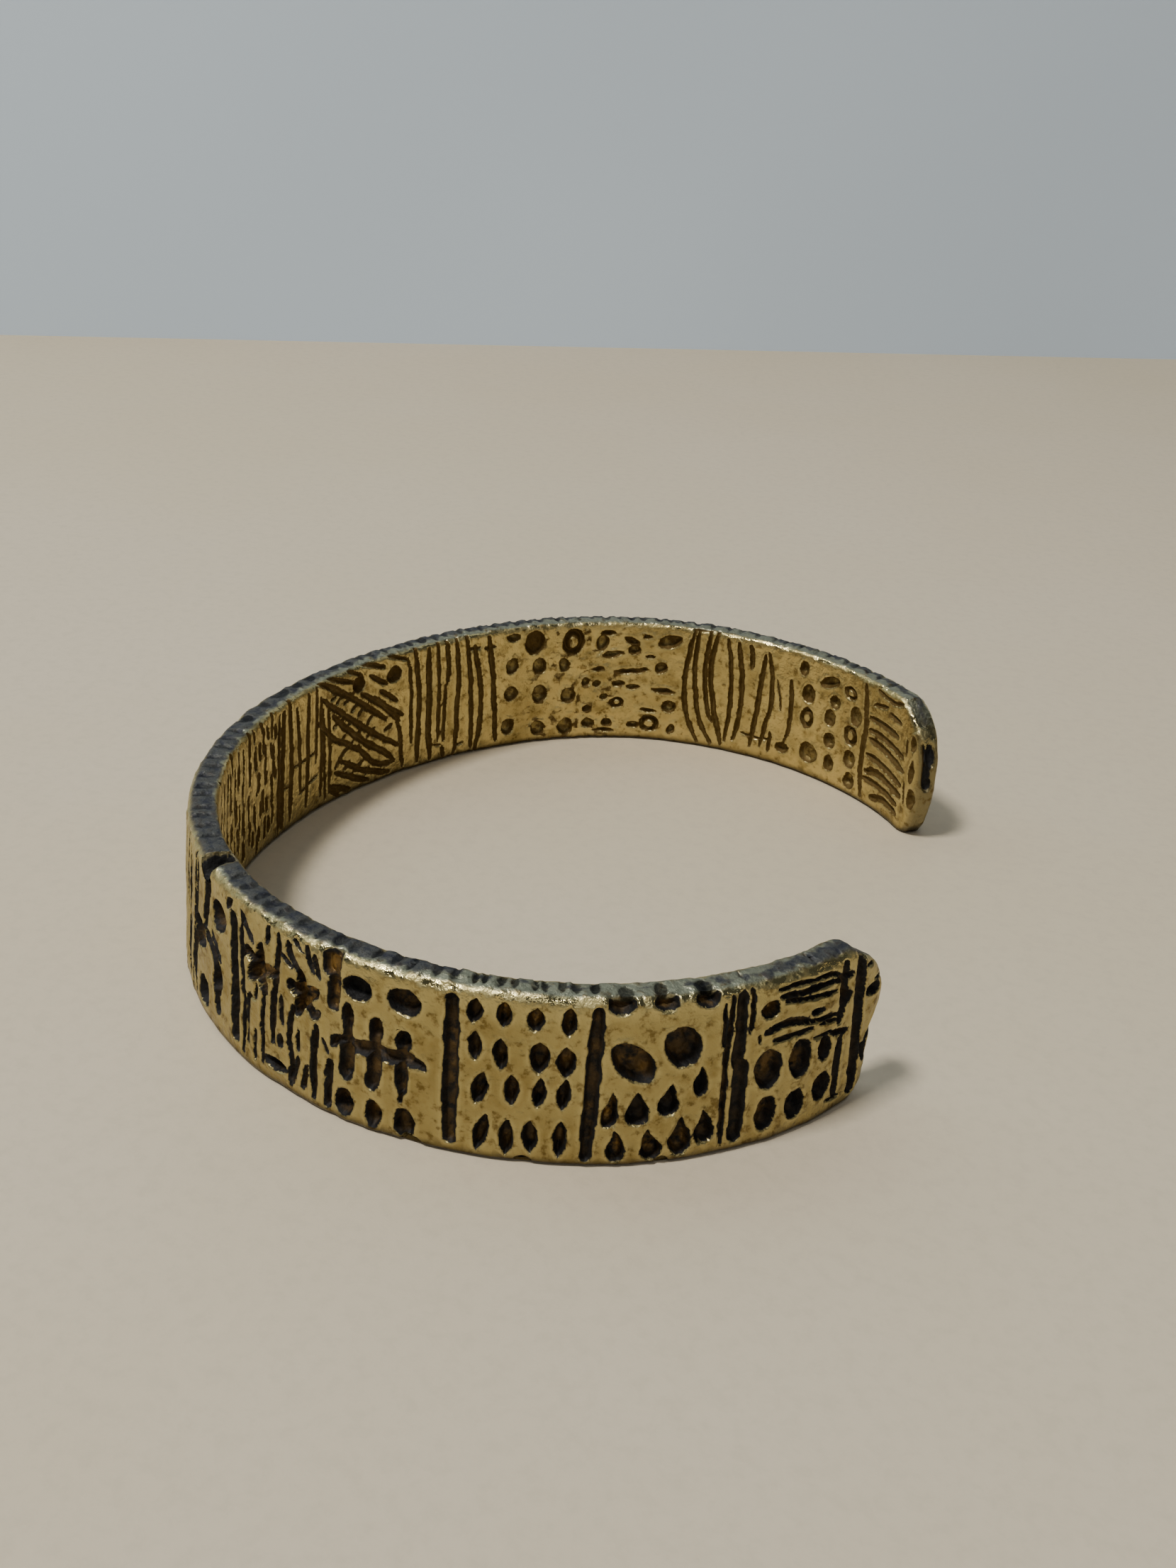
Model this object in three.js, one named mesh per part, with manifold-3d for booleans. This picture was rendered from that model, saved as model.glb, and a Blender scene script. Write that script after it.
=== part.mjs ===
import * as THREE from 'three';
import { mergeVertices } from 'three/addons/utils/BufferGeometryUtils.js';
import Module from 'manifold-3d';

// A cuff bracelet: one cast brass band, bent into an open oval and worked all over with punched
// pits and chased strokes. It stands on its lower edge, and the gap between its ends faces +X.

// Driving sizes, in millimetres and degrees
const insideLength = 57.4;
const insideWidth = 48.4;
const longWayTurn = 68.3;
const gapAngle = 72.6;
const bandHeight = 11.3;
const wallThickness = 2.05;
const wallLean = 2.5;
const outerPitDepth = 0.75;
const outerStrokeDepth = 0.5;
const innerPitDepth = 0.45;
const innerStrokeDepth = 0.32;
const rimNickDepth = 0.22;
const notchWidth = 1.7;
const notchDepth = 1.2;
const endDentDepth = 0.45;
const broadPit = 1.6;
const punchClear = 0.15;
const bendStep = 2.6;
const endReach = 6.2;
const stationStep = 2.1;

// The rim's notch (hundredths of the band's length) and how far the chips in the foot reach up
// (hundredths of its height)
const notchAt = 34.1;
const chipLong = 5;

// How the outline departs from an even oval.
// Columns: waves in a turn, rise (share of the mean radius), crest (degrees from the gap's middle).
const outlineWaves = [
  [3, 0.0091, 60.5],
  [4, 0.0051, 28.1],
  [5, 0.0032, 21.4],
];

// The band's section, from the foot of the outer face over the rim to the foot of the inner face.
// Columns: in (share of the wall, from the outer face), up (share of the height), and for a row
// that only the shaped ends need, the height that it falls back to between them.
const section = [
  [0.10, 0.000],
  [0.00, 0.030],
  [0.00, 0.300, 0.030],
  [0.00, 0.460, 0.030],
  [0.00, 0.640, 0.915],
  [0.00, 0.800, 0.915],
  [0.00, 0.915],
  [0.11, 0.968],
  [0.34, 0.998],
  [0.72, 0.998],
  [0.93, 0.978],
  [1.00, 0.935],
  [1.00, 0.800, 0.935],
  [1.00, 0.640, 0.935],
  [1.00, 0.460, 0.030],
  [1.00, 0.300, 0.030],
  [1.00, 0.030],
  [0.90, 0.000],
];

// The outline of each end, seen square to the face.
// Columns: up, back (how far the end lies behind its tip), both shares of the height.
const nearEnd = [
  [0.00, 0.23],
  [0.09, 0.12],
  [0.27, 0.12],
  [0.45, 0.09],
  [0.63, 0.00],
  [0.81, 0.09],
  [0.90, 0.20],
  [1.00, 0.36],
];
const farEnd = [
  [0.00, 0.15],
  [0.10, 0.08],
  [0.27, 0.02],
  [0.45, 0.00],
  [0.63, 0.01],
  [0.72, 0.04],
  [0.81, 0.08],
  [0.90, 0.18],
  [1.00, 0.34],
];

// How the wall thins to each rounded end.
// Columns: from the end (share of the wall), thickness (share of the wall).
const endRounding = [
  [0.00, 0.42],
  [0.14, 0.74],
  [0.34, 0.93],
  [0.62, 1.00],
];

// The hammered rim rises and falls along the band.
// Columns: waves along the band, rise (share of the height), shift (share of a wave).
const rimWaves = [
  [5, 0.004, 0.1],
  [13, 0.004, 0.4],
  [31, 0.003, 0.7],
];

// Marks on the outer face that were worked one by one, from the near end to the tent.
// Columns: shape, at (hundredths of the band's length, from the near end), up, long and wide
// (hundredths of the band's height), turn (degrees that its top leans towards the far end).
const outerMarks = [
  // End panel
  ['oval', 1.19, 68.4, 15.3, 7.7, 80], ['stroke', 1.57, 84.6, 9, 3.2, 70],
  ['stroke', 1.36, 57.6, 11.7, 4.1, 108], ['stroke', 0.91, 46.8, 17.1, 4.1, 146],
  ['oval', 1.4, 28.8, 16.2, 7.2, 25], ['stroke', 2.15, 50.9, 92.7, 8.6, 2],
  ['stroke', 3.22, 50.4, 88.2, 5.4, 1], ['stroke', 3.29, 86, 15.3, 3.6, 86],
  ['oval', 3.11, 72.9, 9, 10.8, 0], ['stroke', 3.85, 54, 27.9, 2.7, 80],
  ['stroke', 6.22, 93.2, 18, 2, 88], ['stroke', 5.52, 87.8, 32.4, 3.1, 86],
  ['stroke', 5.52, 81.5, 35.1, 2.9, 80], ['oval', 4.66, 72, 11.3, 4.5, 85],
  ['stroke', 5.1, 67.1, 37.8, 3.1, 79], ['stroke', 6.43, 69.3, 30.6, 4.5, 92],
  ['stroke', 4.27, 62.6, 11.7, 2.7, 92], ['stroke', 6.08, 62.6, 26.1, 2.3, 88],
  ['oval', 7.17, 82.8, 10.8, 11.3, 0], ['oval', 4.05, 45.9, 16.2, 10.4, 5],
  ['oval', 5.38, 45.9, 23.4, 14.9, 5], ['oval', 6.99, 45.9, 24.8, 16.2, 5],
  ['oval', 4.02, 21.6, 18, 12.2, 0], ['oval', 5.45, 17.6, 18.5, 13.1, 5],
  ['oval', 6.92, 18, 21.6, 13.1, 0],
  // First divider
  ['stroke', 8.01, 83.7, 20.7, 2.5, 0], ['stroke', 8.5, 74.7, 46.8, 6.8, 1],
  ['stroke', 8.29, 30.6, 52.2, 8.6, 0], ['stroke', 8.92, 50.4, 89.1, 2.7, 1],
  ['stroke', 9.16, 77.4, 27, 1.8, 0],
  // Drop panel
  ['oval', 10, 96.8, 9.9, 12.6, 0], ['oval', 11.68, 97.2, 9.9, 13.5, 0],
  ['oval', 13.43, 96.8, 11.7, 13.5, 0], ['oval', 10.87, 70.2, 25.2, 18.9, 20],
  ['oval', 12.83, 63, 28.8, 17.1, 42], ['drop', 10, 47.7, 17.6, 8.6, 0],
  ['drop', 11.26, 38.7, 19.8, 10.8, -5], ['drop', 12.52, 34.7, 19.8, 13.1, 0],
  ['drop', 13.6, 34.7, 21.6, 8.6, -8], ['drop', 9.69, 18.9, 21.2, 11.7, 5],
  ['drop', 10.7, 15.8, 23.4, 12.6, 0], ['drop', 11.92, 12.2, 18.9, 11.3, 12],
  ['drop', 13.32, 12.2, 18.9, 9.9, 0],
  // Second divider
  ['stroke', 14.37, 49.5, 91.8, 7.4, -1],
  // Almond panel
  ['almond', 15.42, 86.9, 16.7, 7.7, 0], ['almond', 16.71, 86.9, 14.4, 8.6, -6],
  ['almond', 17.9, 87.3, 14.9, 8.1, 0], ['almond', 19.06, 87.8, 14.4, 7.7, -8],
  ['almond', 15.42, 63, 18.9, 9, 0], ['almond', 16.47, 64.8, 18.9, 9.5, 0],
  ['almond', 17.97, 64.8, 18.5, 7.7, 4], ['almond', 18.99, 67.5, 18, 6.8, 0],
  ['almond', 15.45, 43.7, 18.9, 7.2, -4], ['almond', 16.4, 44.1, 18, 6.8, -4],
  ['almond', 17.48, 44.1, 18, 7.2, 0], ['almond', 18.71, 43.2, 19.8, 8.1, -10],
  ['almond', 15.49, 16.2, 23.4, 6.8, 0], ['almond', 16.64, 16.7, 21.6, 7.2, 4],
  ['almond', 17.59, 15.3, 21.6, 7.7, 0], ['almond', 18.6, 15.8, 23.4, 7.2, -12],
  // Third divider
  ['stroke', 19.9, 50.4, 90, 7.7, 1],
  // Figure panel
  ['oval', 21.89, 83.7, 15.3, 18, 0], ['oval', 23.99, 83.3, 14.4, 16.7, 0],
  ['stroke', 25.03, 82.8, 36.9, 7.2, -3], ['oval', 21.89, 60.8, 11.3, 9.5, 0],
  ['oval', 23.08, 63, 14.4, 9, 0], ['oval', 24.37, 65.3, 14.4, 7.7, 0],
  ['stroke', 23.08, 48.2, 54, 8.1, 94], ['wedge', 21.85, 36.9, 26.1, 8.6, 0],
  ['wedge', 23.08, 35.1, 26.1, 9, 0], ['wedge', 24.37, 36, 22.5, 9.9, 0],
  ['oval', 21.75, 10.8, 17.6, 11.7, 0], ['oval', 23.11, 10.8, 17.1, 9.5, 0],
  ['oval', 24.44, 11.3, 17.1, 11.3, 0], ['stroke', 25.24, 19.4, 32.4, 5.4, -1],
  // Star panel
  ['star', 26.64, 65.3, 29.7, 23.4, 10], ['star', 29.3, 66.6, 29.7, 27, -8],
  ['stroke', 26.01, 86.4, 13.5, 2.7, 12], ['stroke', 26.4, 87.3, 13.5, 2.5, 10],
  ['stroke', 27.41, 84.6, 19.8, 3.1, 40], ['stroke', 28.18, 77.4, 37.8, 2.7, 0],
  ['stroke', 28.71, 89.1, 9.9, 2.3, -4], ['stroke', 30, 82.8, 14.4, 2.7, 35],
  ['stroke', 25.94, 27.9, 44.1, 3.6, 0], ['stroke', 26.4, 15.3, 16.2, 2.3, -8],
  ['stroke', 26.92, 16.2, 19.8, 2.5, -8], ['stroke', 27.31, 36, 41.4, 3.2, 0],
  ['stroke', 27.83, 39.6, 30.6, 2.7, 0], ['stroke', 28.32, 39.6, 36, 2.7, 0],
  ['stroke', 29.02, 34.2, 43.2, 2.7, 0], ['stroke', 29.51, 27, 39.6, 3.2, 2],
  ['stroke', 29.83, 36, 21.6, 2, 0], ['oval', 28.18, 12.6, 7.7, 18.9, 0],
  ['stroke', 30.45, 48.6, 86.4, 3.2, 1], ['stroke', 31.08, 48.6, 81.9, 8.6, 2],
  // Tent panel
  ['oval', 32.59, 75.6, 19.8, 17.1, 0], ['stroke', 33.15, 44.1, 30.6, 6.8, -32],
  ['stroke', 34.69, 44.1, 32.4, 5.4, 30], ['oval', 33.15, 24.3, 15.3, 9.9, -8],
  ['oval', 34.48, 25.2, 16.2, 9, 8], ['stroke', 34.02, 76.5, 32.4, 5, 0],
];

// Marks on the inner face that were worked one by one, with the same columns.
const innerMarks = [
  // Long lines
  ['stroke', 50.98, 50.4, 88.2, 2.3, 0], ['stroke', 52.31, 53.1, 89.1, 3.1, 0],
  ['stroke', 53.01, 59.4, 66.6, 2.3, -2], ['stroke', 53.81, 61.2, 70.2, 2.7, -2],
  ['stroke', 54.62, 57.6, 77.4, 3.1, 0], ['stroke', 55.03, 64.8, 59.4, 2.3, -4],
  ['stroke', 55.45, 43.2, 75.6, 2.5, -3], ['stroke', 55.94, 34.2, 55.8, 2.3, 0],
  // Slanted panel
  ['stroke', 57.76, 77.4, 86.4, 3.6, 123], ['stroke', 58.46, 54.9, 106.2, 3.8, 123],
  ['stroke', 57.62, 44.1, 89.1, 3.2, 122], ['stroke', 58.88, 26.1, 77.4, 3.6, 120],
  ['stroke', 58.74, 13.5, 57.6, 4, 118], ['stroke', 57.48, 11.7, 41.4, 3.6, 116],
  ['stroke', 56.57, 8.6, 18, 4, 120], ['stroke', 59.86, 59.4, 50.4, 3.6, 122],
  ['stroke', 59.58, 83.7, 39.6, 2.7, 118], ['stroke', 60.63, 70.2, 23.4, 3.8, 124],
  ['stroke', 59.16, 94.5, 28.8, 3.1, 112], ['stroke', 61.26, 92.7, 21.6, 2.7, 116],
  ['oval', 58.18, 85.5, 13.1, 12.6, 0], ['oval', 60.91, 83.7, 13.1, 13.5, 0],
  ['stroke', 56.99, 69.3, 11.7, 2, 30], ['stroke', 57.9, 63, 10.8, 2, 30],
  ['stroke', 59.02, 50.4, 9.9, 2, 30], ['stroke', 57.34, 50.4, 9, 2, 30],
  ['stroke', 56.92, 32.4, 16.2, 2.2, 48], ['stroke', 58.32, 23.4, 9, 1.8, 30],
  // Upright lines
  ['stroke', 61.68, 37.8, 68.4, 3.2, -4], ['stroke', 62.24, 55.8, 77.4, 3.1, -4],
  ['stroke', 62.76, 51.3, 91.8, 3.6, -4], ['stroke', 63.67, 49.5, 90, 4.5, -4],
  ['stroke', 64.34, 56.7, 81.9, 3.4, -3], ['stroke', 64.83, 49.5, 91.8, 3.6, 0],
  ['stroke', 65.66, 50.4, 93.6, 3.8, -1], ['stroke', 66.64, 48.6, 91.8, 3.6, -5],
  ['stroke', 67.2, 45.9, 86.4, 3.6, -5], ['stroke', 68.36, 50.4, 89.1, 4.1, -6],
  ['stroke', 66.92, 88.2, 9.9, 2.2, 90], ['stroke', 67.97, 88.2, 9.9, 2.2, 90],
  // Dot panel
  ['oval', 69.37, 91.8, 6.3, 11.7, 0], ['oval', 69.44, 68.4, 15.3, 11.7, 10],
  ['oval', 69.51, 45, 12.6, 11.7, 0], ['oval', 69.51, 16.2, 13.5, 11.3, 0],
  ['oval', 71.01, 85.5, 18.9, 16.7, 0], ['oval', 73.64, 83.7, 21.6, 17.1, 0],
  ['oval', 71.47, 64.8, 13.5, 11.3, 0], ['oval', 71.61, 41.4, 14.9, 11.7, 0],
  ['oval', 71.61, 11.7, 13.5, 11.7, 0], ['oval', 73.08, 64.4, 9, 12.6, 0],
  ['oval', 73.53, 38.3, 12.6, 12.6, 0], ['oval', 73.5, 11.3, 13.5, 13.5, 0],
  ['oval', 74.83, 26.1, 6.3, 8.1, 0],
  // Worn panel
  ['oval', 79.86, 86.4, 9.9, 18.9, -20], ['oval', 79.51, 63, 8.1, 10.8, -20],
  ['oval', 76.22, 77.4, 10.8, 19.8, -10], ['oval', 75.45, 60.3, 5.4, 12.6, 0],
  ['oval', 77.48, 57.6, 4.5, 19.8, 0], ['oval', 76.92, 31.5, 8.1, 12.6, 10],
  ['oval', 75.8, 10.8, 8.1, 16.2, 0], ['oval', 79.02, 15.3, 9.9, 16.2, 10],
  ['oval', 80.42, 9.9, 9.9, 7.2, 30], ['oval', 79.44, 44.1, 5.4, 17.1, 6],
  // Bowed lines
  ['stroke', 81.29, 77.4, 45, 4.1, 4], ['stroke', 81.75, 32.4, 59.4, 3.6, -15],
  ['stroke', 81.85, 74.7, 48.6, 3.2, 0], ['stroke', 82.55, 27.9, 52.2, 3.8, -20],
  ['stroke', 82.55, 80.1, 36, 3.1, 6], ['stroke', 83.04, 73.8, 50.4, 3.8, 0],
  ['stroke', 83.5, 27.9, 50.4, 3.6, -13], ['stroke', 84.06, 70.2, 48.6, 3.2, -5],
  ['stroke', 84.34, 28.8, 41.4, 3.2, -2], ['stroke', 84.97, 72, 43.2, 3.2, -8],
  ['stroke', 85.03, 32.4, 43.2, 3.6, 4], ['stroke', 85.59, 84.2, 17.1, 3.6, 0],
  ['stroke', 86.29, 65.7, 34.2, 3.2, 3], ['stroke', 86.01, 28.8, 41.4, 3.6, 7],
  ['stroke', 86.99, 72, 41.4, 3.2, -5], ['stroke', 86.92, 30.6, 41.4, 3.6, 8],
  ['stroke', 87.76, 59.4, 28.8, 2, -4], ['stroke', 88.6, 48.6, 50.4, 3.2, 0],
  ['oval', 88.25, 15.3, 9, 11.7, 0],
  // Ringed dots
  ['oval', 89.23, 88.7, 11.7, 10.8, 0], ['oval', 89.72, 67.5, 14.4, 11.7, 10],
  ['oval', 89.72, 47.7, 16.2, 12.6, 0], ['oval', 90.07, 19.8, 17.1, 14.4, 0],
  ['oval', 91.33, 84.6, 9.9, 18, -25], ['oval', 91.68, 68.4, 11.7, 9, 0],
  ['oval', 91.47, 54, 10.8, 9.9, 0], ['oval', 91.54, 36.9, 11.7, 10.8, 0],
  ['oval', 91.68, 18, 12.6, 10.8, 0], ['oval', 93.01, 83.3, 8.1, 11.7, 0],
  ['oval', 93.5, 65.7, 15.3, 10.8, 0], ['oval', 93.22, 48.6, 14.4, 13.5, 0],
  ['oval', 93.36, 28.8, 12.6, 12.6, 0], ['oval', 93.43, 12.6, 12.6, 11.7, 0],
  ['stroke', 94.27, 50.4, 89.1, 3.8, -3],
  // Last strokes
  ['stroke', 96.08, 71.1, 32.4, 3.2, 95], ['stroke', 96.43, 60.3, 39.6, 3.6, 95],
  ['stroke', 96.5, 51.3, 40.5, 3.8, 96], ['stroke', 96.64, 38.7, 43.2, 3.8, 96],
  ['stroke', 96.64, 28.8, 44.1, 4.1, 95], ['stroke', 96.5, 19.8, 41.4, 3.4, 93],
  ['stroke', 96.71, 12.2, 30.6, 3.2, 94], ['oval', 98.95, 51.3, 17.1, 6.8, 0],
  ['oval', 99.09, 30.6, 13.5, 7.2, 5],
];

// Worked panels round the back of the outer face, which repeat the same few punches.
// Columns: pattern, from and to (hundredths of the band's length).
const outerPanels = [
  ['uprights', 35.0, 38.6],
  ['drops', 39.6, 46.4],
  ['almonds', 47.6, 54.2],
  ['slants', 55.2, 61.6],
  ['pits', 62.8, 69.4],
  ['uprights', 70.4, 75.6],
  ['almonds', 76.8, 83.4],
  ['drops', 84.6, 90.8],
  ['slants', 92.0, 96.6],
];

// Worked panels on the part of the inner face behind the near end.
const innerPanels = [
  ['uprights', 4.0, 10.4],
  ['dots', 11.6, 18.6],
  ['slants', 19.8, 26.6],
  ['uprights', 27.8, 34.4],
  ['dots', 35.6, 42.6],
  ['dashes', 43.8, 50.4],
];

// What each pattern repeats.
// Columns: shape, columns across the panel, rows up the face, long and wide (hundredths of the
// height), turn (degrees), foot and head (hundredths of the height between which the rows lie).
const patterns = {
  almonds: ['almond', 3, 3, 22, 9, 0, 5, 95],
  drops: ['drop', 3, 3, 21, 12, 0, 4, 92],
  pits: ['oval', 3, 3, 19, 13, 12, 5, 93],
  dots: ['oval', 3, 4, 13, 10.8, 0, 5, 95],
  uprights: ['stroke', 6, 1, 88, 3.4, -2, 5, 95],
  slants: ['stroke', 1, 6, 46, 4, 66, 6, 92],
  dashes: ['stroke', 5, 3, 20, 3.2, 2, 5, 95],
};

// Nicks that the hammer left across the rim.
// Columns: from and to (hundredths of the band's length), nicks, wide (share of the wall).
const rimNicks = [
  [4, 12, 2, 0.2],
  [16, 22, 5, 0.3],
  [24, 32, 3, 0.25],
  [36, 50, 4, 0.3],
  [53, 56, 3, 0.4],
  [60, 94, 6, 0.25],
];

// Chips in the lower edge of the outer face. Columns: at, wide (hundredths, as above).
const edgeChips = [
  [11.4, 9],
  [16.9, 11],
  [21.4, 14],
  [57.0, 12],
  [81.0, 10],
];

// Dents in the face of the far end. Columns: up, long, wide (hundredths of the height).
const endDents = [
  [78, 12, 9],
  [62, 13, 8],
  [47, 11, 7],
];

const radians = THREE.MathUtils.degToRad;
const upright = new THREE.Vector3(0, 0, 1);
const meanRadius = (insideLength + insideWidth) / 4 + wallThickness;
const ovalRise = (insideLength - insideWidth) / 4;
const leanSlope = Math.tan(radians(wallLean));

// The value of a two-column table at a given place
function lookUp(table, place) {
  let row = 1;
  while (row < table.length - 1 && table[row][0] < place) {
    row += 1;
  }
  const [a, low] = table[row - 1];
  const [b, high] = table[row];
  const share = THREE.MathUtils.clamp((place - a) / (b - a), 0, 1);
  return low + (high - low) * share;
}

// The outer line of the rim, walked from the near end round the back to the far end
function outlinePoint(angle) {
  let radius = meanRadius + ovalRise * Math.cos(2 * (angle - radians(longWayTurn)));
  for (const [waves, rise, crest] of outlineWaves) {
    radius += meanRadius * rise * Math.cos(waves * (angle - radians(crest)));
  }
  return new THREE.Vector2(radius * Math.cos(angle), radius * Math.sin(angle));
}

const outline = [];
const outlineSteps = 1440;
for (let i = 0; i <= outlineSteps; i += 1) {
  const angle = -radians(gapAngle / 2 + (360 - gapAngle) * (i / outlineSteps));
  outline.push({ point: outlinePoint(angle), along: 0 });
  if (i > 0) {
    outline[i].along = outline[i - 1].along + outline[i].point.distanceTo(outline[i - 1].point);
  }
}
const bandLength = outline[outlineSteps].along;

// Where the outer line is at a distance along the band, with its direction and the way out
function frameAt(along) {
  let low = 0;
  let high = outlineSteps;
  while (high - low > 1) {
    const middle = (low + high) >> 1;
    if (outline[middle].along > along) {
      high = middle;
    } else {
      low = middle;
    }
  }
  const a = outline[low];
  const b = outline[high];
  const ahead = new THREE.Vector2().subVectors(b.point, a.point).normalize();
  const point = a.point.clone().addScaledVector(ahead, along - a.along);
  return { point, ahead, out: new THREE.Vector2(-ahead.y, ahead.x) };
}

// A point of the band: along it, inwards from the outer face, and up from the lower edge
function bandPoint(along, inwards, up, way) {
  const { point, out } = frameAt(along);
  const offset = leanSlope * (bandHeight - up) - inwards;
  const { x, y } = way ?? out;
  return new THREE.Vector3(point.x + x * offset, point.y + y * offset, up);
}

// The way out at each station, mitred so that the walls between stations are flat
function mitredWays(stations) {
  const points = stations.map((station) => frameAt(station).point);
  const sides = points.slice(1).map((point, i) => {
    const ahead = point.clone().sub(points[i]).normalize();
    return new THREE.Vector2(-ahead.y, ahead.x);
  });
  return points.map((_, i) => {
    const before = sides[Math.max(0, i - 1)];
    const after = sides[Math.min(sides.length - 1, i)];
    return before.clone().add(after).divideScalar(1 + before.dot(after));
  });
}

function rimRise(along) {
  let rise = 0;
  for (const [waves, height, shift] of rimWaves) {
    rise += height * Math.sin(2 * Math.PI * (waves * along / bandLength + shift));
  }
  return rise * bandHeight;
}

// The stations lie close together at the rounded ends and evenly between them
function makeStations() {
  const close = [0, 0.14, 0.34, 0.62, 1.1, 1.9].map((share) => share * wallThickness);
  const spans = Math.round((bandLength - 2 * endReach) / stationStep);
  const stations = [...close];
  for (let i = 0; i <= spans; i += 1) {
    stations.push(endReach + (bandLength - 2 * endReach) * (i / spans));
  }
  for (const distance of close.toReversed()) {
    stations.push(bandLength - distance);
  }
  return stations;
}

function makeBand() {
  const positions = [];
  const triangles = [];
  const stations = makeStations();
  const count = section.length;
  const ways = mitredWays(stations);
  stations.forEach((station, i) => {
    const isNear = station < bandLength / 2;
    const fromEnd = isNear ? station : bandLength - station;
    const thickness = lookUp(endRounding, fromEnd / wallThickness);
    for (const [inShare, ownUp, plainUp] of section) {
      const upShare = fromEnd > endReach + 0.01 ? plainUp ?? ownUp : ownUp;
      const back = lookUp(isNear ? nearEnd : farEnd, upShare) * bandHeight;
      const shift = back * Math.max(0, 1 - fromEnd / endReach);
      const along = isNear ? station + shift : station - shift;
      const inwards = wallThickness * (0.5 + (inShare - 0.5) * thickness);
      const rise = upShare > 0.95 ? rimRise(along) : 0;
      const way = shift > 0 ? null : ways[i];
      positions.push(...bandPoint(along, inwards, upShare * bandHeight + rise, way).toArray());
    }
  });
  for (let i = 0; i < stations.length - 1; i += 1) {
    for (let j = 0; j < count; j += 1) {
      const next = (j + 1) % count;
      const a = i * count + j;
      const b = i * count + next;
      const c = (i + 1) * count + next;
      const d = (i + 1) * count + j;
      triangles.push(a, b, c, a, c, d);
    }
  }
  // Each end is closed from the outer rows across to the inner rows of the same height
  const last = (stations.length - 1) * count;
  for (let j = 0; j < count / 2 - 1; j += 1) {
    const [a, b, c, d] = [j, j + 1, count - 2 - j, count - 1 - j];
    triangles.push(a, c, b, a, d, c);
    triangles.push(last + a, last + b, last + c, last + a, last + c, last + d);
  }
  return { positions, triangles };
}

// The outlines of the punches, as points across and along, for a mark of a given size.
// A long stroke has extra points along its sides, so that it can follow the bend of the band.
function punchOutline(shape, long, wide, steps) {
  const x = wide / 2;
  const y = long / 2;
  const sides = wide > broadPit ? 8 : 6;
  const side = Array.from({ length: steps + 1 }, (_, i) => y * (1 - 2 * i / steps));
  const outlines = {
    oval: Array.from({ length: sides }, (_, i) => {
      const angle = 2 * Math.PI * i / sides;
      return [1.05 * x * Math.sin(angle), 1.05 * y * Math.cos(angle)];
    }),
    almond: [[0, y], [x, 0.3 * y], [x, -0.3 * y], [0, -y], [-x, -0.3 * y], [-x, 0.3 * y]],
    drop: [[0, y], [x, -0.3 * y], [0.6 * x, -y], [-0.6 * x, -y], [-x, -0.3 * y]],
    wedge: [[-0.8 * x, y], [0.8 * x, y], [x, 0.3 * y], [0, -y], [-x, 0.3 * y]],
    stroke: [...side.map((v) => [x, v]), ...side.map((v) => [-x, -v])],
    star: Array.from({ length: 10 }, (_, i) => {
      const reach = i % 2 === 0 ? 1.1 : 0.55;
      return [reach * x * Math.sin(Math.PI * i / 5), reach * y * Math.cos(Math.PI * i / 5)];
    }),
  };
  return outlines[shape];
}

// The floor of a punch: a small copy of its mouth, a ridge along it or a single point
function punchFloor(shape, mouth, long, wide, depth) {
  if (shape === 'oval' && wide > broadPit) {
    return mouth.map(([x, y]) => [0.6 * x, 0.6 * y]);
  }
  if (shape === 'stroke') {
    const share = Math.max(0, 1 - 2 * depth / long);
    return mouth.map(([, y]) => [0, share * y]);
  }
  const ridge = shape === 'almond' ? 0.22 * long : 0;
  return mouth.map(([, y]) => [0, ridge * Math.sign(y)]);
}

// A closed punch: its mouth stands clear of the surface and its floor is smaller than its mouth.
// The surface gives a point in space for each place across, along and above it.
function makePunch(shape, long, wide, depth, turn, surface) {
  const cos = Math.cos(radians(turn));
  const sin = Math.sin(radians(turn));
  const steps = Math.max(1, Math.ceil(long * Math.abs(sin) / bendStep));
  const mouth = punchOutline(shape, long, wide, steps);
  const floor = punchFloor(shape, mouth, long, wide, depth);
  const flare = punchClear / depth;
  const positions = [];
  const place = (x, y, height) => {
    positions.push(...surface(x * cos + y * sin, y * cos - x * sin, height).toArray());
  };
  mouth.forEach(([x, y], i) => {
    place(x + (x - floor[i][0]) * flare, y + (y - floor[i][1]) * flare, punchClear);
  });
  floor.forEach(([x, y]) => place(x, y, -depth));
  const count = mouth.length;
  const triangles = [];
  for (let i = 0; i < count; i += 1) {
    const next = (i + 1) % count;
    triangles.push(i, next, count + next);
    triangles.push(i, count + next, count + i);
  }
  if (shape === 'stroke') {
    for (let i = 0; i < steps; i += 1) {
      const across = count - 1 - i;
      triangles.push(i + 1, i, across);
      triangles.push(i + 1, across, across - 1);
    }
    return { positions, triangles };
  }
  place(0, 0, punchClear);
  place(0, 0, -depth);
  for (let i = 0; i < count; i += 1) {
    const next = (i + 1) % count;
    triangles.push(2 * count, next, i);
    triangles.push(2 * count + 1, count + i, count + next);
  }
  return { positions, triangles };
}

// A mark struck into the outer or the inner face
function faceMark(side, [shape, at, up, long, wide, turn]) {
  const along = at / 100 * bandLength;
  const height = up / 100 * bandHeight;
  const isOuter = side === 'outer';
  const surface = (right, rise, out) => {
    const inwards = isOuter ? -out : wallThickness + out;
    return bandPoint(along + right, inwards, height + rise);
  };
  const strokeDepth = isOuter ? outerStrokeDepth : innerStrokeDepth;
  const pitDepth = isOuter ? outerPitDepth : innerPitDepth;
  const width = wide / 100 * bandHeight;
  const reach = Math.min(1, 0.45 + width / 2);
  const depth = reach * (shape === 'stroke' ? strokeDepth : pitDepth);
  return makePunch(shape, long / 100 * bandHeight, width, depth, turn, surface);
}

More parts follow.
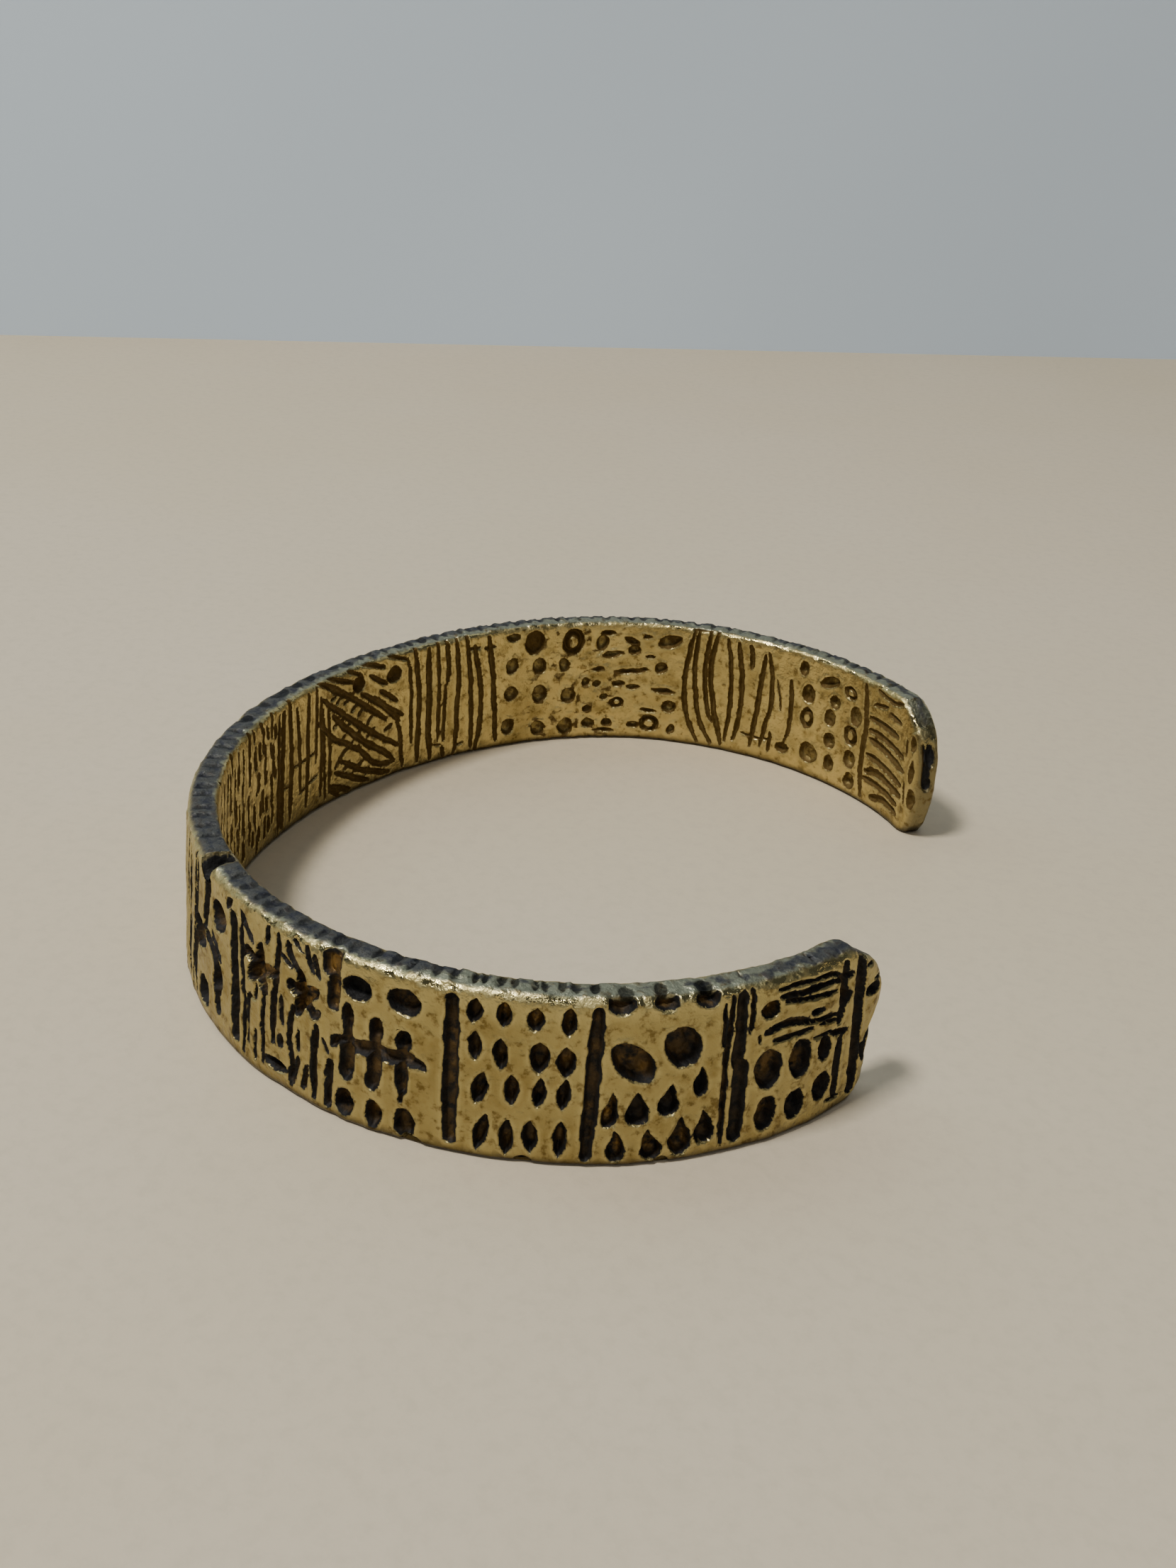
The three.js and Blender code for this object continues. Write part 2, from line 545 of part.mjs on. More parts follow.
// A mark struck down into the rim, across the wall
function rimMark(at, long, wide, depth) {
  const along = at / 100 * bandLength;
  const { ahead, out } = frameAt(along);
  const origin = bandPoint(along, wallThickness / 2, bandHeight + rimRise(along));
  const surface = (right, rise, height) => new THREE.Vector3(
    origin.x + ahead.x * right + out.x * rise,
    origin.y + ahead.y * right + out.y * rise,
    origin.z + height,
  );
  return makePunch('stroke', long, wide, depth, 0, surface);
}

// A dent in the face of the far end
function endDent([up, long, wide]) {
  const height = up / 100 * bandHeight;
  const back = lookUp(farEnd, up / 100) * bandHeight;
  const along = bandLength - back;
  const { ahead, out } = frameAt(along);
  const origin = bandPoint(along, wallThickness / 2, height);
  const surface = (right, rise, height) => new THREE.Vector3(
    origin.x + out.x * right + ahead.x * height,
    origin.y + out.y * right + ahead.y * height,
    origin.z + rise,
  );
  const size = [long / 100 * bandHeight, wide / 100 * bandHeight, endDentDepth];
  return makePunch('oval', ...size, 0, surface);
}

// The marks of a worked panel, in columns and rows
function panelMarks([pattern, from, to]) {
  const [shape, columns, rows, long, wide, turn, foot, head] = patterns[pattern];
  const marks = [];
  for (let column = 0; column < columns; column += 1) {
    for (let row = 0; row < rows; row += 1) {
      const at = from + (to - from) * (column + 0.5) / columns;
      const up = foot + (head - foot) * (row + 0.5) / rows;
      const waver = Math.sin(7.3 * at + 2.9 * row);
      marks.push([shape, at + 0.12 * waver, up + waver, long * (1 - 0.06 * waver), wide, turn + 3 * waver]);
    }
  }
  marks.push(['stroke', to + 0.6, 50, 90, 6, 1]);
  return marks;
}

const wasm = await Module();
wasm.setup();

// A closed solid whose faces point outwards, from plain arrays
function toSolid({ positions, triangles }) {
  const raw = new THREE.BufferGeometry();
  raw.setAttribute('position', new THREE.Float32BufferAttribute(positions, 3));
  raw.setIndex(triangles);
  const geometry = mergeVertices(raw, 1e-5);
  const corners = geometry.index.array;
  const kept = [];
  for (let i = 0; i < corners.length; i += 3) {
    const [p, q, r] = corners.slice(i, i + 3);
    if (p !== q && q !== r && r !== p) {
      kept.push(p, q, r);
    }
  }
  const index = Uint32Array.from(kept);
  const points = geometry.attributes.position.array;
  let volume = 0;
  const [a, b, c] = [new THREE.Vector3(), new THREE.Vector3(), new THREE.Vector3()];
  for (let i = 0; i < index.length; i += 3) {
    a.fromArray(points, 3 * index[i]);
    b.fromArray(points, 3 * index[i + 1]);
    c.fromArray(points, 3 * index[i + 2]);
    volume += a.dot(b.cross(c));
  }
  if (volume < 0) {
    for (let i = 0; i < index.length; i += 3) {
      [index[i + 1], index[i + 2]] = [index[i + 2], index[i + 1]];
    }
  }
  const vertProperties = Float32Array.from(points);
  const mesh = new wasm.Mesh({ numProp: 3, vertProperties, triVerts: index });
  return new wasm.Manifold(mesh);
}

const punches = [];
for (const mark of outerMarks) {
  punches.push(faceMark('outer', mark));
}
for (const panel of outerPanels) {
  punches.push(...panelMarks(panel).map((mark) => faceMark('outer', mark)));
}
for (const mark of innerMarks) {
  punches.push(faceMark('inner', mark));
}
for (const panel of innerPanels) {
  punches.push(...panelMarks(panel).map((mark) => faceMark('inner', mark)));
}
for (const [from, to, nicks, wide] of rimNicks) {
  for (let i = 0; i < nicks; i += 1) {
    const at = from + (to - from) * (i + 0.5) / nicks;
    punches.push(rimMark(at, 1.3 * wallThickness, wide * wallThickness, rimNickDepth));
  }
}
punches.push(rimMark(notchAt, 1.5 * wallThickness, notchWidth, notchDepth));
for (const [at, wide] of edgeChips) {
  punches.push(faceMark('outer', ['oval', at, 0, chipLong, wide, 0]));
}
for (const dent of endDents) {
  punches.push(endDent(dent));
}

const allPunches = punches.map(toSolid).reduce((joined, punch) => joined.add(punch));
const cuffSolid = toSolid(makeBand()).subtract(allPunches);

// The origin is under the middle of the cuff's box
function toGeometry(solid) {
  const { numProp, vertProperties, triVerts } = solid.getMesh();
  const positions = [];
  for (let i = 0; i < vertProperties.length; i += numProp) {
    positions.push(vertProperties[i], vertProperties[i + 1], vertProperties[i + 2]);
  }
  const geometry = new THREE.BufferGeometry();
  geometry.setAttribute('position', new THREE.Float32BufferAttribute(positions, 3));
  geometry.setIndex(Array.from(triVerts));
  geometry.computeBoundingBox();
  const middle = geometry.boundingBox.getCenter(new THREE.Vector3());
  geometry.translate(-middle.x, -middle.y, -geometry.boundingBox.min.z);
  geometry.computeVertexNormals();
  return geometry;
}

const agedBrass = new THREE.MeshStandardMaterial({ color: 0x8f7740, roughness: 0.42, metalness: 1 });
const cuff = new THREE.Mesh(toGeometry(cuffSolid), agedBrass);
cuff.name = 'cuff';

const bracelet = new THREE.Group();
bracelet.add(cuff);

export default bracelet;
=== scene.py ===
import math

import bpy
import numpy as np
from mathutils import Matrix, Vector
from mathutils.kdtree import KDTree


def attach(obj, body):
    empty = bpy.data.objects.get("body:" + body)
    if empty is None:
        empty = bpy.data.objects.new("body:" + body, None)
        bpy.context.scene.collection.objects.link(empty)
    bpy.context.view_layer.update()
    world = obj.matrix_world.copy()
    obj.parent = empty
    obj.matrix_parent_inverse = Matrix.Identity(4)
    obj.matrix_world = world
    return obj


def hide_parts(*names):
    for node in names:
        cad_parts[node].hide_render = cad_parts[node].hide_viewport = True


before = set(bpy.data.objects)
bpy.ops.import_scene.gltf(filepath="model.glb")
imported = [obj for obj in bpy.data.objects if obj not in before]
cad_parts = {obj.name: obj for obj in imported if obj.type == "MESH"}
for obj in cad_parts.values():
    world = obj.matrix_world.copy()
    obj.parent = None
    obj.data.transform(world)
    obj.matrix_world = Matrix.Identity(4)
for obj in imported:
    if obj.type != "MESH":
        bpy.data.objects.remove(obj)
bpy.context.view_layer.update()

# A cast brass cuff bracelet, punched and chased all over, lying on its lower edge.
# Sizes are in millimetres and degrees until the mesh is written in metres.

MILLIMETRE = 0.001
INSIDE_LENGTH = 57.4
INSIDE_WIDTH = 48.4
LONG_WAY_TURN = 68.3
GAP_ANGLE = 72.6
BAND_HEIGHT = 11.3
WALL = 2.05
WALL_LEAN = 2.5
OUTER_PIT_DEPTH = 0.75
OUTER_STROKE_DEPTH = 0.5
INNER_PIT_DEPTH = 0.45
INNER_STROKE_DEPTH = 0.32
PIT_WALL = 0.26
LIP_HEIGHT = 0.045
LIP_OUT = 0.11
LIP_WIDE = 0.09
HALO_REACH = 0.5
RIM_NICK_DEPTH = 0.2
RIM_DEEP = 1.6
NOTCH_WIDTH = 2.0
NOTCH_DEPTH = 1.3
END_REACH = 6.2
END_DENT_DEPTH = 0.42
CHIP_DEPTH = 0.35
CHIP_HEIGHT = 0.55

# Where the rim's notch is, in hundredths of the band's length
NOTCH_AT = 34.1

# The worn panel of the inner face, as distances from the near end
WORN_FROM = 101.5
WORN_TO = 113.0

# How far the edges of marks and of lines waver, and how rough edges and floors are
MARK_SWAY = 0.075
LINE_SWAY = 0.06
EDGE_GRIT = 0.022
FLOOR_GRIT = 0.22

# Each end's face is flat for a share of the wall, and rounded over a share of the wall
END_FLAT = 0.44
END_ROUND = 0.62

# Rounded corners of the section, as (in, up), and how far under the rim two have their centres
FOOT_ROUND = (0.22, 0.3)
SHOULDER_ROUND = (0.62, 0.7)
SHOULDER_DROP = 0.72
RIM_ROUND = (0.4, 0.5)
RIM_DROP = 0.55
INNER_FOOT_ROUND = (0.2, 0.25)
CREST_IN = 1.1

OUTLINE_STEPS = 6001
CORNER_STEPS = 14
NOISE_CELLS = 256
GRID_ALONG = 1700
GRID_ROUND = 270
MESH_TRIANGLES = 192000

# How far past a mark its points are looked for, since the ends lean
SLACK = 5.0

# How the outline departs from an even oval: (waves in a turn, share of the mean radius, crest)
OUTLINE_WAVES = [
    (3, 0.0091, 60.5),
    (4, 0.0051, 28.1),
    (5, 0.0032, 21.4),
]

# The outline of each end, square to the face: (up, back), both shares of the height
NEAR_END = [
    (0.00, 0.23), (0.09, 0.12), (0.27, 0.12), (0.45, 0.09),
    (0.63, 0.00), (0.81, 0.09), (0.90, 0.20), (1.00, 0.36),
]
FAR_END = [
    (0.00, 0.15), (0.10, 0.08), (0.27, 0.02), (0.45, 0.00), (0.63, 0.01),
    (0.72, 0.04), (0.81, 0.08), (0.90, 0.18), (1.00, 0.34),
]

# Marks worked one by one, by shape: (at, up, long, wide, turn, bare). Here and below, at, from and
# to are in hundredths of the band's length from the near end. up, long and wide are in hundredths
# of its height, turn is in degrees that the mark's top leans towards the far end, and bare is the
# share of its floor where the brass shows.
OUTER_MARKS = {"oval": [
    (1.19, 68.4, 15.3, 7.7, 80, 0.3), (1.4, 28.8, 16.2, 7.2, 25, 0.3), (3.11, 72.9, 9, 10.8, 0, 0.3),
    (4.66, 72, 11.3, 4.5, 85, 0.3), (7.17, 82.8, 10.8, 11.3, 0, 0.9), (4.05, 45.9, 16.2, 10.4, 5, 0.25),
    (5.38, 45.9, 23.4, 14.9, 5, 0.4), (6.99, 45.9, 24.8, 16.2, 5, 0.45), (4.02, 21.6, 18, 12.2, 0, 0.35),
    (5.45, 17.6, 18.5, 13.1, 5, 0.25), (6.92, 18, 21.6, 13.1, 0, 0.35), (10, 96.8, 9.9, 12.6, 0, 0.5),
    (11.68, 97.2, 9.9, 13.5, 0, 0.5), (13.43, 96.8, 11.7, 13.5, 0, 0.3),
    (10.87, 70.2, 25.2, 18.9, 20, 0.25), (12.83, 63, 28.8, 17.1, 42, 0.4),
    (21.89, 83.7, 15.3, 18, 0, 0.25), (23.99, 83.3, 14.4, 16.7, 0, 0), (21.89, 60.8, 11.3, 9.5, 0, 0.3),
    (23.08, 63, 14.4, 9, 0, 0.3), (24.37, 65.3, 14.4, 7.7, 0, 0.3), (21.75, 10.8, 17.6, 11.7, 0, 0.35),
    (23.11, 10.8, 17.1, 9.5, 0, 0.5), (24.44, 11.3, 17.1, 11.3, 0, 0.65), (28.18, 12.6, 7.7, 18.9, 0, 0.3),
    (32.59, 75.6, 19.8, 17.1, 0, 0.6), (34.83, 50.4, 19.8, 20.7, 0, 0.2), (32.76, 33.3, 18, 9.9, 0, 0.3),
    (34.2, 15.8, 19.8, 16.2, 0, 0.1),
], "stroke": [
    (2.15, 50.9, 92.7, 8.6, 2, 0.12), (8.5, 74.7, 46.8, 6.8, 1, 0.12), (8.29, 30.6, 52.2, 8.6, 0, 0.12),
    (14.37, 49.5, 91.8, 7.4, -1, 0.25), (19.9, 50.4, 90, 7.7, 1, 0.25), (25.03, 82.8, 36.9, 7.2, -3, 0.6),
    (25.24, 19.4, 32.4, 5.4, -1, 0.12), (25.24, 91.8, 17.1, 10.4, 0, 0.7),
    (31.08, 48.6, 81.9, 8.6, 2, 0.12),
], "drop": [
    (10, 47.7, 17.6, 8.6, 0, 0), (11.26, 38.7, 19.8, 10.8, -5, 0.05), (12.52, 34.7, 19.8, 13.1, 0, 0.1),
    (13.6, 34.7, 21.6, 8.6, -8, 0.75), (9.69, 18.9, 21.2, 11.7, 5, 0.2), (10.7, 15.8, 23.4, 12.6, 0, 0.55),
    (11.92, 12.2, 18.9, 11.3, 12, 0.5), (13.32, 12.2, 18.9, 9.9, 0, 0.55),
], "almond": [
    (15.42, 86.9, 16.7, 7.7, 0, 0.5), (16.71, 86.9, 14.4, 8.6, -6, 0.8), (17.9, 87.3, 14.9, 8.1, 0, 0.7),
    (19.06, 87.8, 14.4, 7.7, -8, 0.3), (15.42, 63, 18.9, 9, 0, 0.4), (16.47, 64.8, 18.9, 9.5, 0, 0.35),
    (17.97, 64.8, 18.5, 7.7, 4, 0.3), (18.99, 67.5, 18, 6.8, 0, 0.3), (15.45, 43.7, 18.9, 7.2, -4, 0.3),
    (16.4, 44.1, 18, 6.8, -4, 0.3), (17.48, 44.1, 18, 7.2, 0, 0.3), (18.71, 43.2, 19.8, 8.1, -10, 0.3),
    (15.49, 16.2, 23.4, 6.8, 0, 0.3), (16.64, 16.7, 21.6, 7.2, 4, 0.3), (17.59, 15.3, 21.6, 7.7, 0, 0.3),
    (18.6, 15.8, 23.4, 7.2, -12, 0.3),
], "star": [
    (26.64, 65.3, 29.7, 23.4, 10, 0.75), (29.3, 66.6, 29.7, 27, -8, 0.6),
]}
INNER_MARKS = {"oval": [
    (58.18, 85.5, 13.1, 12.6, 0, 0), (60.91, 83.7, 13.1, 13.5, 0, 0.1), (69.55, 91.8, 6.8, 11.7, 0, 1.25),
    (69.58, 68, 13.5, 10.8, 10, 1.15), (69.58, 45, 12.6, 11.7, 0, 1.05),
    (69.51, 16.2, 13.5, 11.3, 0, 1.05), (71.05, 85.5, 19.8, 16.7, 0, 0.05),
    (71.47, 65.3, 13.5, 11.7, 0, 1.15), (71.61, 41.4, 15.3, 12.2, 0, 1.05),
    (71.61, 11.7, 13.1, 12.2, 0, 1.05), (73.15, 64.8, 9, 12.6, 70, 0.75),
    (73.53, 38.3, 13.1, 13.1, 0, 0.95), (73.5, 10.8, 14, 13.5, 0, 0.95), (74.86, 26.1, 6.3, 8.1, 0, 1.35),
    (80, 86, 10.8, 20.7, -15, 0.6), (79.58, 63, 9, 10.8, -20, 0.9), (75.59, 82.8, 14.4, 9.9, 10, 1),
    (75.94, 90.9, 4.5, 13.5, 0, 1.1), (76.36, 72.9, 5.4, 19.8, -12, 1.1),
    (77.55, 84.6, 6.3, 14.4, 20, 1.1), (77.76, 77.4, 8.1, 10.8, 0, 1), (78.53, 89.1, 3.6, 9, 0, 1.3),
    (78.81, 72, 4.5, 8.1, 0, 1.2), (75.45, 60.8, 4.1, 11.7, 0, 1), (77.55, 59, 4.1, 26.1, -3, 1.1),
    (78.46, 61.2, 3.6, 8.1, 0, 1.2), (76.85, 47.7, 5.4, 11.7, 0, 1.3), (77.83, 45.5, 4.5, 12.6, 0, 1.3),
    (79.86, 43.7, 5, 21.6, 4, 0.8), (74.69, 49.5, 6.3, 6.3, 0, 1.2), (75.38, 47.7, 5.4, 7.2, 0, 1.2),
    (75.94, 36.9, 5, 7.2, 0, 1.1), (78.95, 25.7, 3.6, 16.2, 5, 0.9), (80.28, 30.6, 10.8, 11.7, 0, 1.3),
    (76.29, 13.5, 7.2, 9, 0, 1.3), (75.03, 13.5, 8.1, 11.7, 10, 0.9), (76.08, 7.2, 3.2, 19.8, 0, 0.7),
    (78.04, 12.2, 6.3, 11.7, 0, 1.1), (80.56, 10.8, 9.9, 7.2, 30, 1), (88.22, 16.2, 9, 12.6, 0, 0.3),
    (89.23, 87.3, 11.7, 9, 0, 0.8), (89.72, 68.4, 15.3, 11.7, 10, 1), (90.14, 19.8, 17.1, 17.1, 0, 0.8),
    (91.19, 83.7, 9, 19.8, -25, 0.9), (91.75, 69.3, 10.8, 9.9, 0, 1), (91.47, 55.8, 14.4, 10.8, 0, 0.8),
    (91.61, 36.9, 12.6, 11.7, 0, 0.9), (91.75, 18, 12.6, 10.8, 0, 1), (93.5, 65.7, 16.2, 11.7, 0, 1),
    (93.36, 29.7, 14.4, 12.6, 0, 1.1), (93.5, 12.2, 13.5, 11.7, 0, 1.2), (99.02, 72, 12.6, 6.8, 0, 0.6),
    (99.16, 51.3, 18.9, 7.2, 0, 0.6), (99.37, 30.6, 17.1, 9, 5, 0.7),
], "ring": [
    (73.64, 84.2, 22.5, 18, 0, 0.1), (76.85, 31.5, 9.9, 11.7, 0, 1.1), (79.09, 14.4, 14.4, 16.2, 0, 1),
    (89.79, 48.2, 17.1, 12.6, 0, 1), (92.87, 81.9, 9.9, 14.4, 10, 1.2), (93.22, 48.6, 16.2, 14.4, 0, 1),
]}

# Chased lines: (wide, at, up, at, up, ...), with at and up for each point that a line runs through
OUTER_LINES = [
    # First divider
    (2.9, 8.08, 97.2, 8.01, 84.6, 8.04, 72), (3.2, 8.92, 95.4, 8.99, 72, 8.99, 36, 8.92, 6.3),
    (2.2, 9.23, 91.8, 9.2, 66.6),
    # End panel
    (4.7, 0.17, 56.7, 0.77, 46.8, 1.26, 36.9, 1.61, 28.8), (2.8, 1.4, 85.5, 1.82, 86),
    (2.4, 0.63, 73.8, 1.19, 74.7), (5.9, 3.25, 94.5, 3.29, 82.8, 3.25, 72, 3.32, 59.4),
    (4.7, 2.8, 86, 3.78, 87.3), (3.8, 2.8, 51.3, 3.71, 54), (5.2, 3.15, 48.6, 3.22, 27, 3.15, 9.9),
    (2.4, 2.8, 9, 3.64, 9.9), (2.6, 3.64, 90, 4.41, 92.7, 5.31, 92.3), (2.6, 5.17, 93.6, 6.85, 93.6),
    (4, 3.92, 87.3, 5.31, 87.3, 6.71, 88.7), (3, 3.71, 80.1, 5.03, 81.9, 6.43, 85.5),
    (4.7, 5.17, 68.4, 6.15, 71.6, 7.27, 69.3), (3, 3.57, 65.3, 5.03, 67.1, 5.59, 69.3),
    (2.8, 4.83, 62.6, 6.85, 62.6), (2.6, 3.57, 62.1, 4.41, 62.6), (2.3, 3.78, 55.4, 4.76, 55.4),
    (1.9, 7.62, 68.4, 7.55, 63.9),
    # Figure panel
    (8.4, 21.22, 49.5, 21.82, 50.9, 22.38, 49.1, 23.08, 50.9, 23.78, 48.6, 24.41, 50.4),
    (5.3, 24.34, 51.3, 24.83, 48.6, 25.1, 44.1), (4.4, 21.19, 51.3, 20.98, 46.8),
    (5.3, 21.89, 59.4, 21.89, 46.8), (6.2, 23.08, 64.8, 23.11, 48.6), (5.7, 24.37, 68.4, 24.34, 50.4),
    (6.6, 21.92, 46.8, 21.89, 36.9, 21.89, 29.7), (7.9, 23.08, 47.7, 23.15, 36, 23.22, 27),
    (8.4, 24.34, 46.8, 24.37, 36, 24.41, 27.9), (2.6, 21.89, 28.8, 21.96, 23.4),
    (2.2, 25.59, 45, 25.31, 37.8),
    # Star panel
    (4.2, 26.85, 77.4, 27.34, 85.5, 27.55, 92.7), (3.4, 25.8, 81, 26.08, 91.8),
    (3.4, 26.15, 81.9, 26.5, 95.4), (3.4, 26.78, 91.8, 27.2, 95.4), (3.2, 27.34, 78.3, 27.9, 83.7),
    (3.6, 28.04, 94.5, 28.18, 72, 28.25, 54, 28.32, 26.1), (3.4, 28.67, 94.5, 28.81, 84.6),
    (4, 29.72, 79.2, 30.14, 85.5, 30.42, 91.8), (3.6, 30.52, 92.7, 30.49, 66.6, 30.31, 36, 30.35, 5.4),
    (3.4, 25.8, 59.4, 26.08, 54), (4.6, 25.94, 50.4, 26.01, 27, 25.94, 5.4),
    (3.6, 26.36, 23.4, 26.57, 8.1), (3, 26.85, 42.3, 26.85, 29.7), (3.4, 26.85, 25.2, 27.2, 6.3),
    (3.8, 27.2, 55.8, 27.34, 36, 27.2, 21.6, 27.27, 8.1), (3.4, 27.9, 56.7, 27.76, 41.4),
    (4.4, 27.87, 33.3, 27.9, 26.1), (3.4, 28.39, 55.8, 28.39, 25.2),
    (3.2, 28.95, 54.9, 29.06, 30.6, 28.95, 9), (2.6, 29.44, 54.9, 29.51, 45), (3, 29.51, 25.2, 29.51, 7.2),
    (2.4, 29.65, 44.1, 30, 44.1, 30, 26.1), (2.6, 30.07, 44.1, 30, 14.4), (3, 30.21, 71.1, 30.56, 64.8),
    # Tent panel
    (7.9, 33.71, 95.4, 33.92, 75.6, 34.09, 59.4),
    (8.9, 33.92, 57.6, 33.36, 52.2, 32.94, 45.9, 32.59, 38.7, 32.45, 29.7),
    (7.9, 35.31, 46.8, 35.59, 32.4, 35.52, 18), (7.9, 32.66, 27, 32.59, 15.3),
    (4, 33.22, 62.1, 32.38, 48.6), (5, 35.59, 72, 35.59, 57.6), (5, 36.5, 88.2, 36.64, 54),
    (5, 36.92, 45, 36.78, 10.8), (5, 31.75, 88.2, 31.4, 93.6),
]
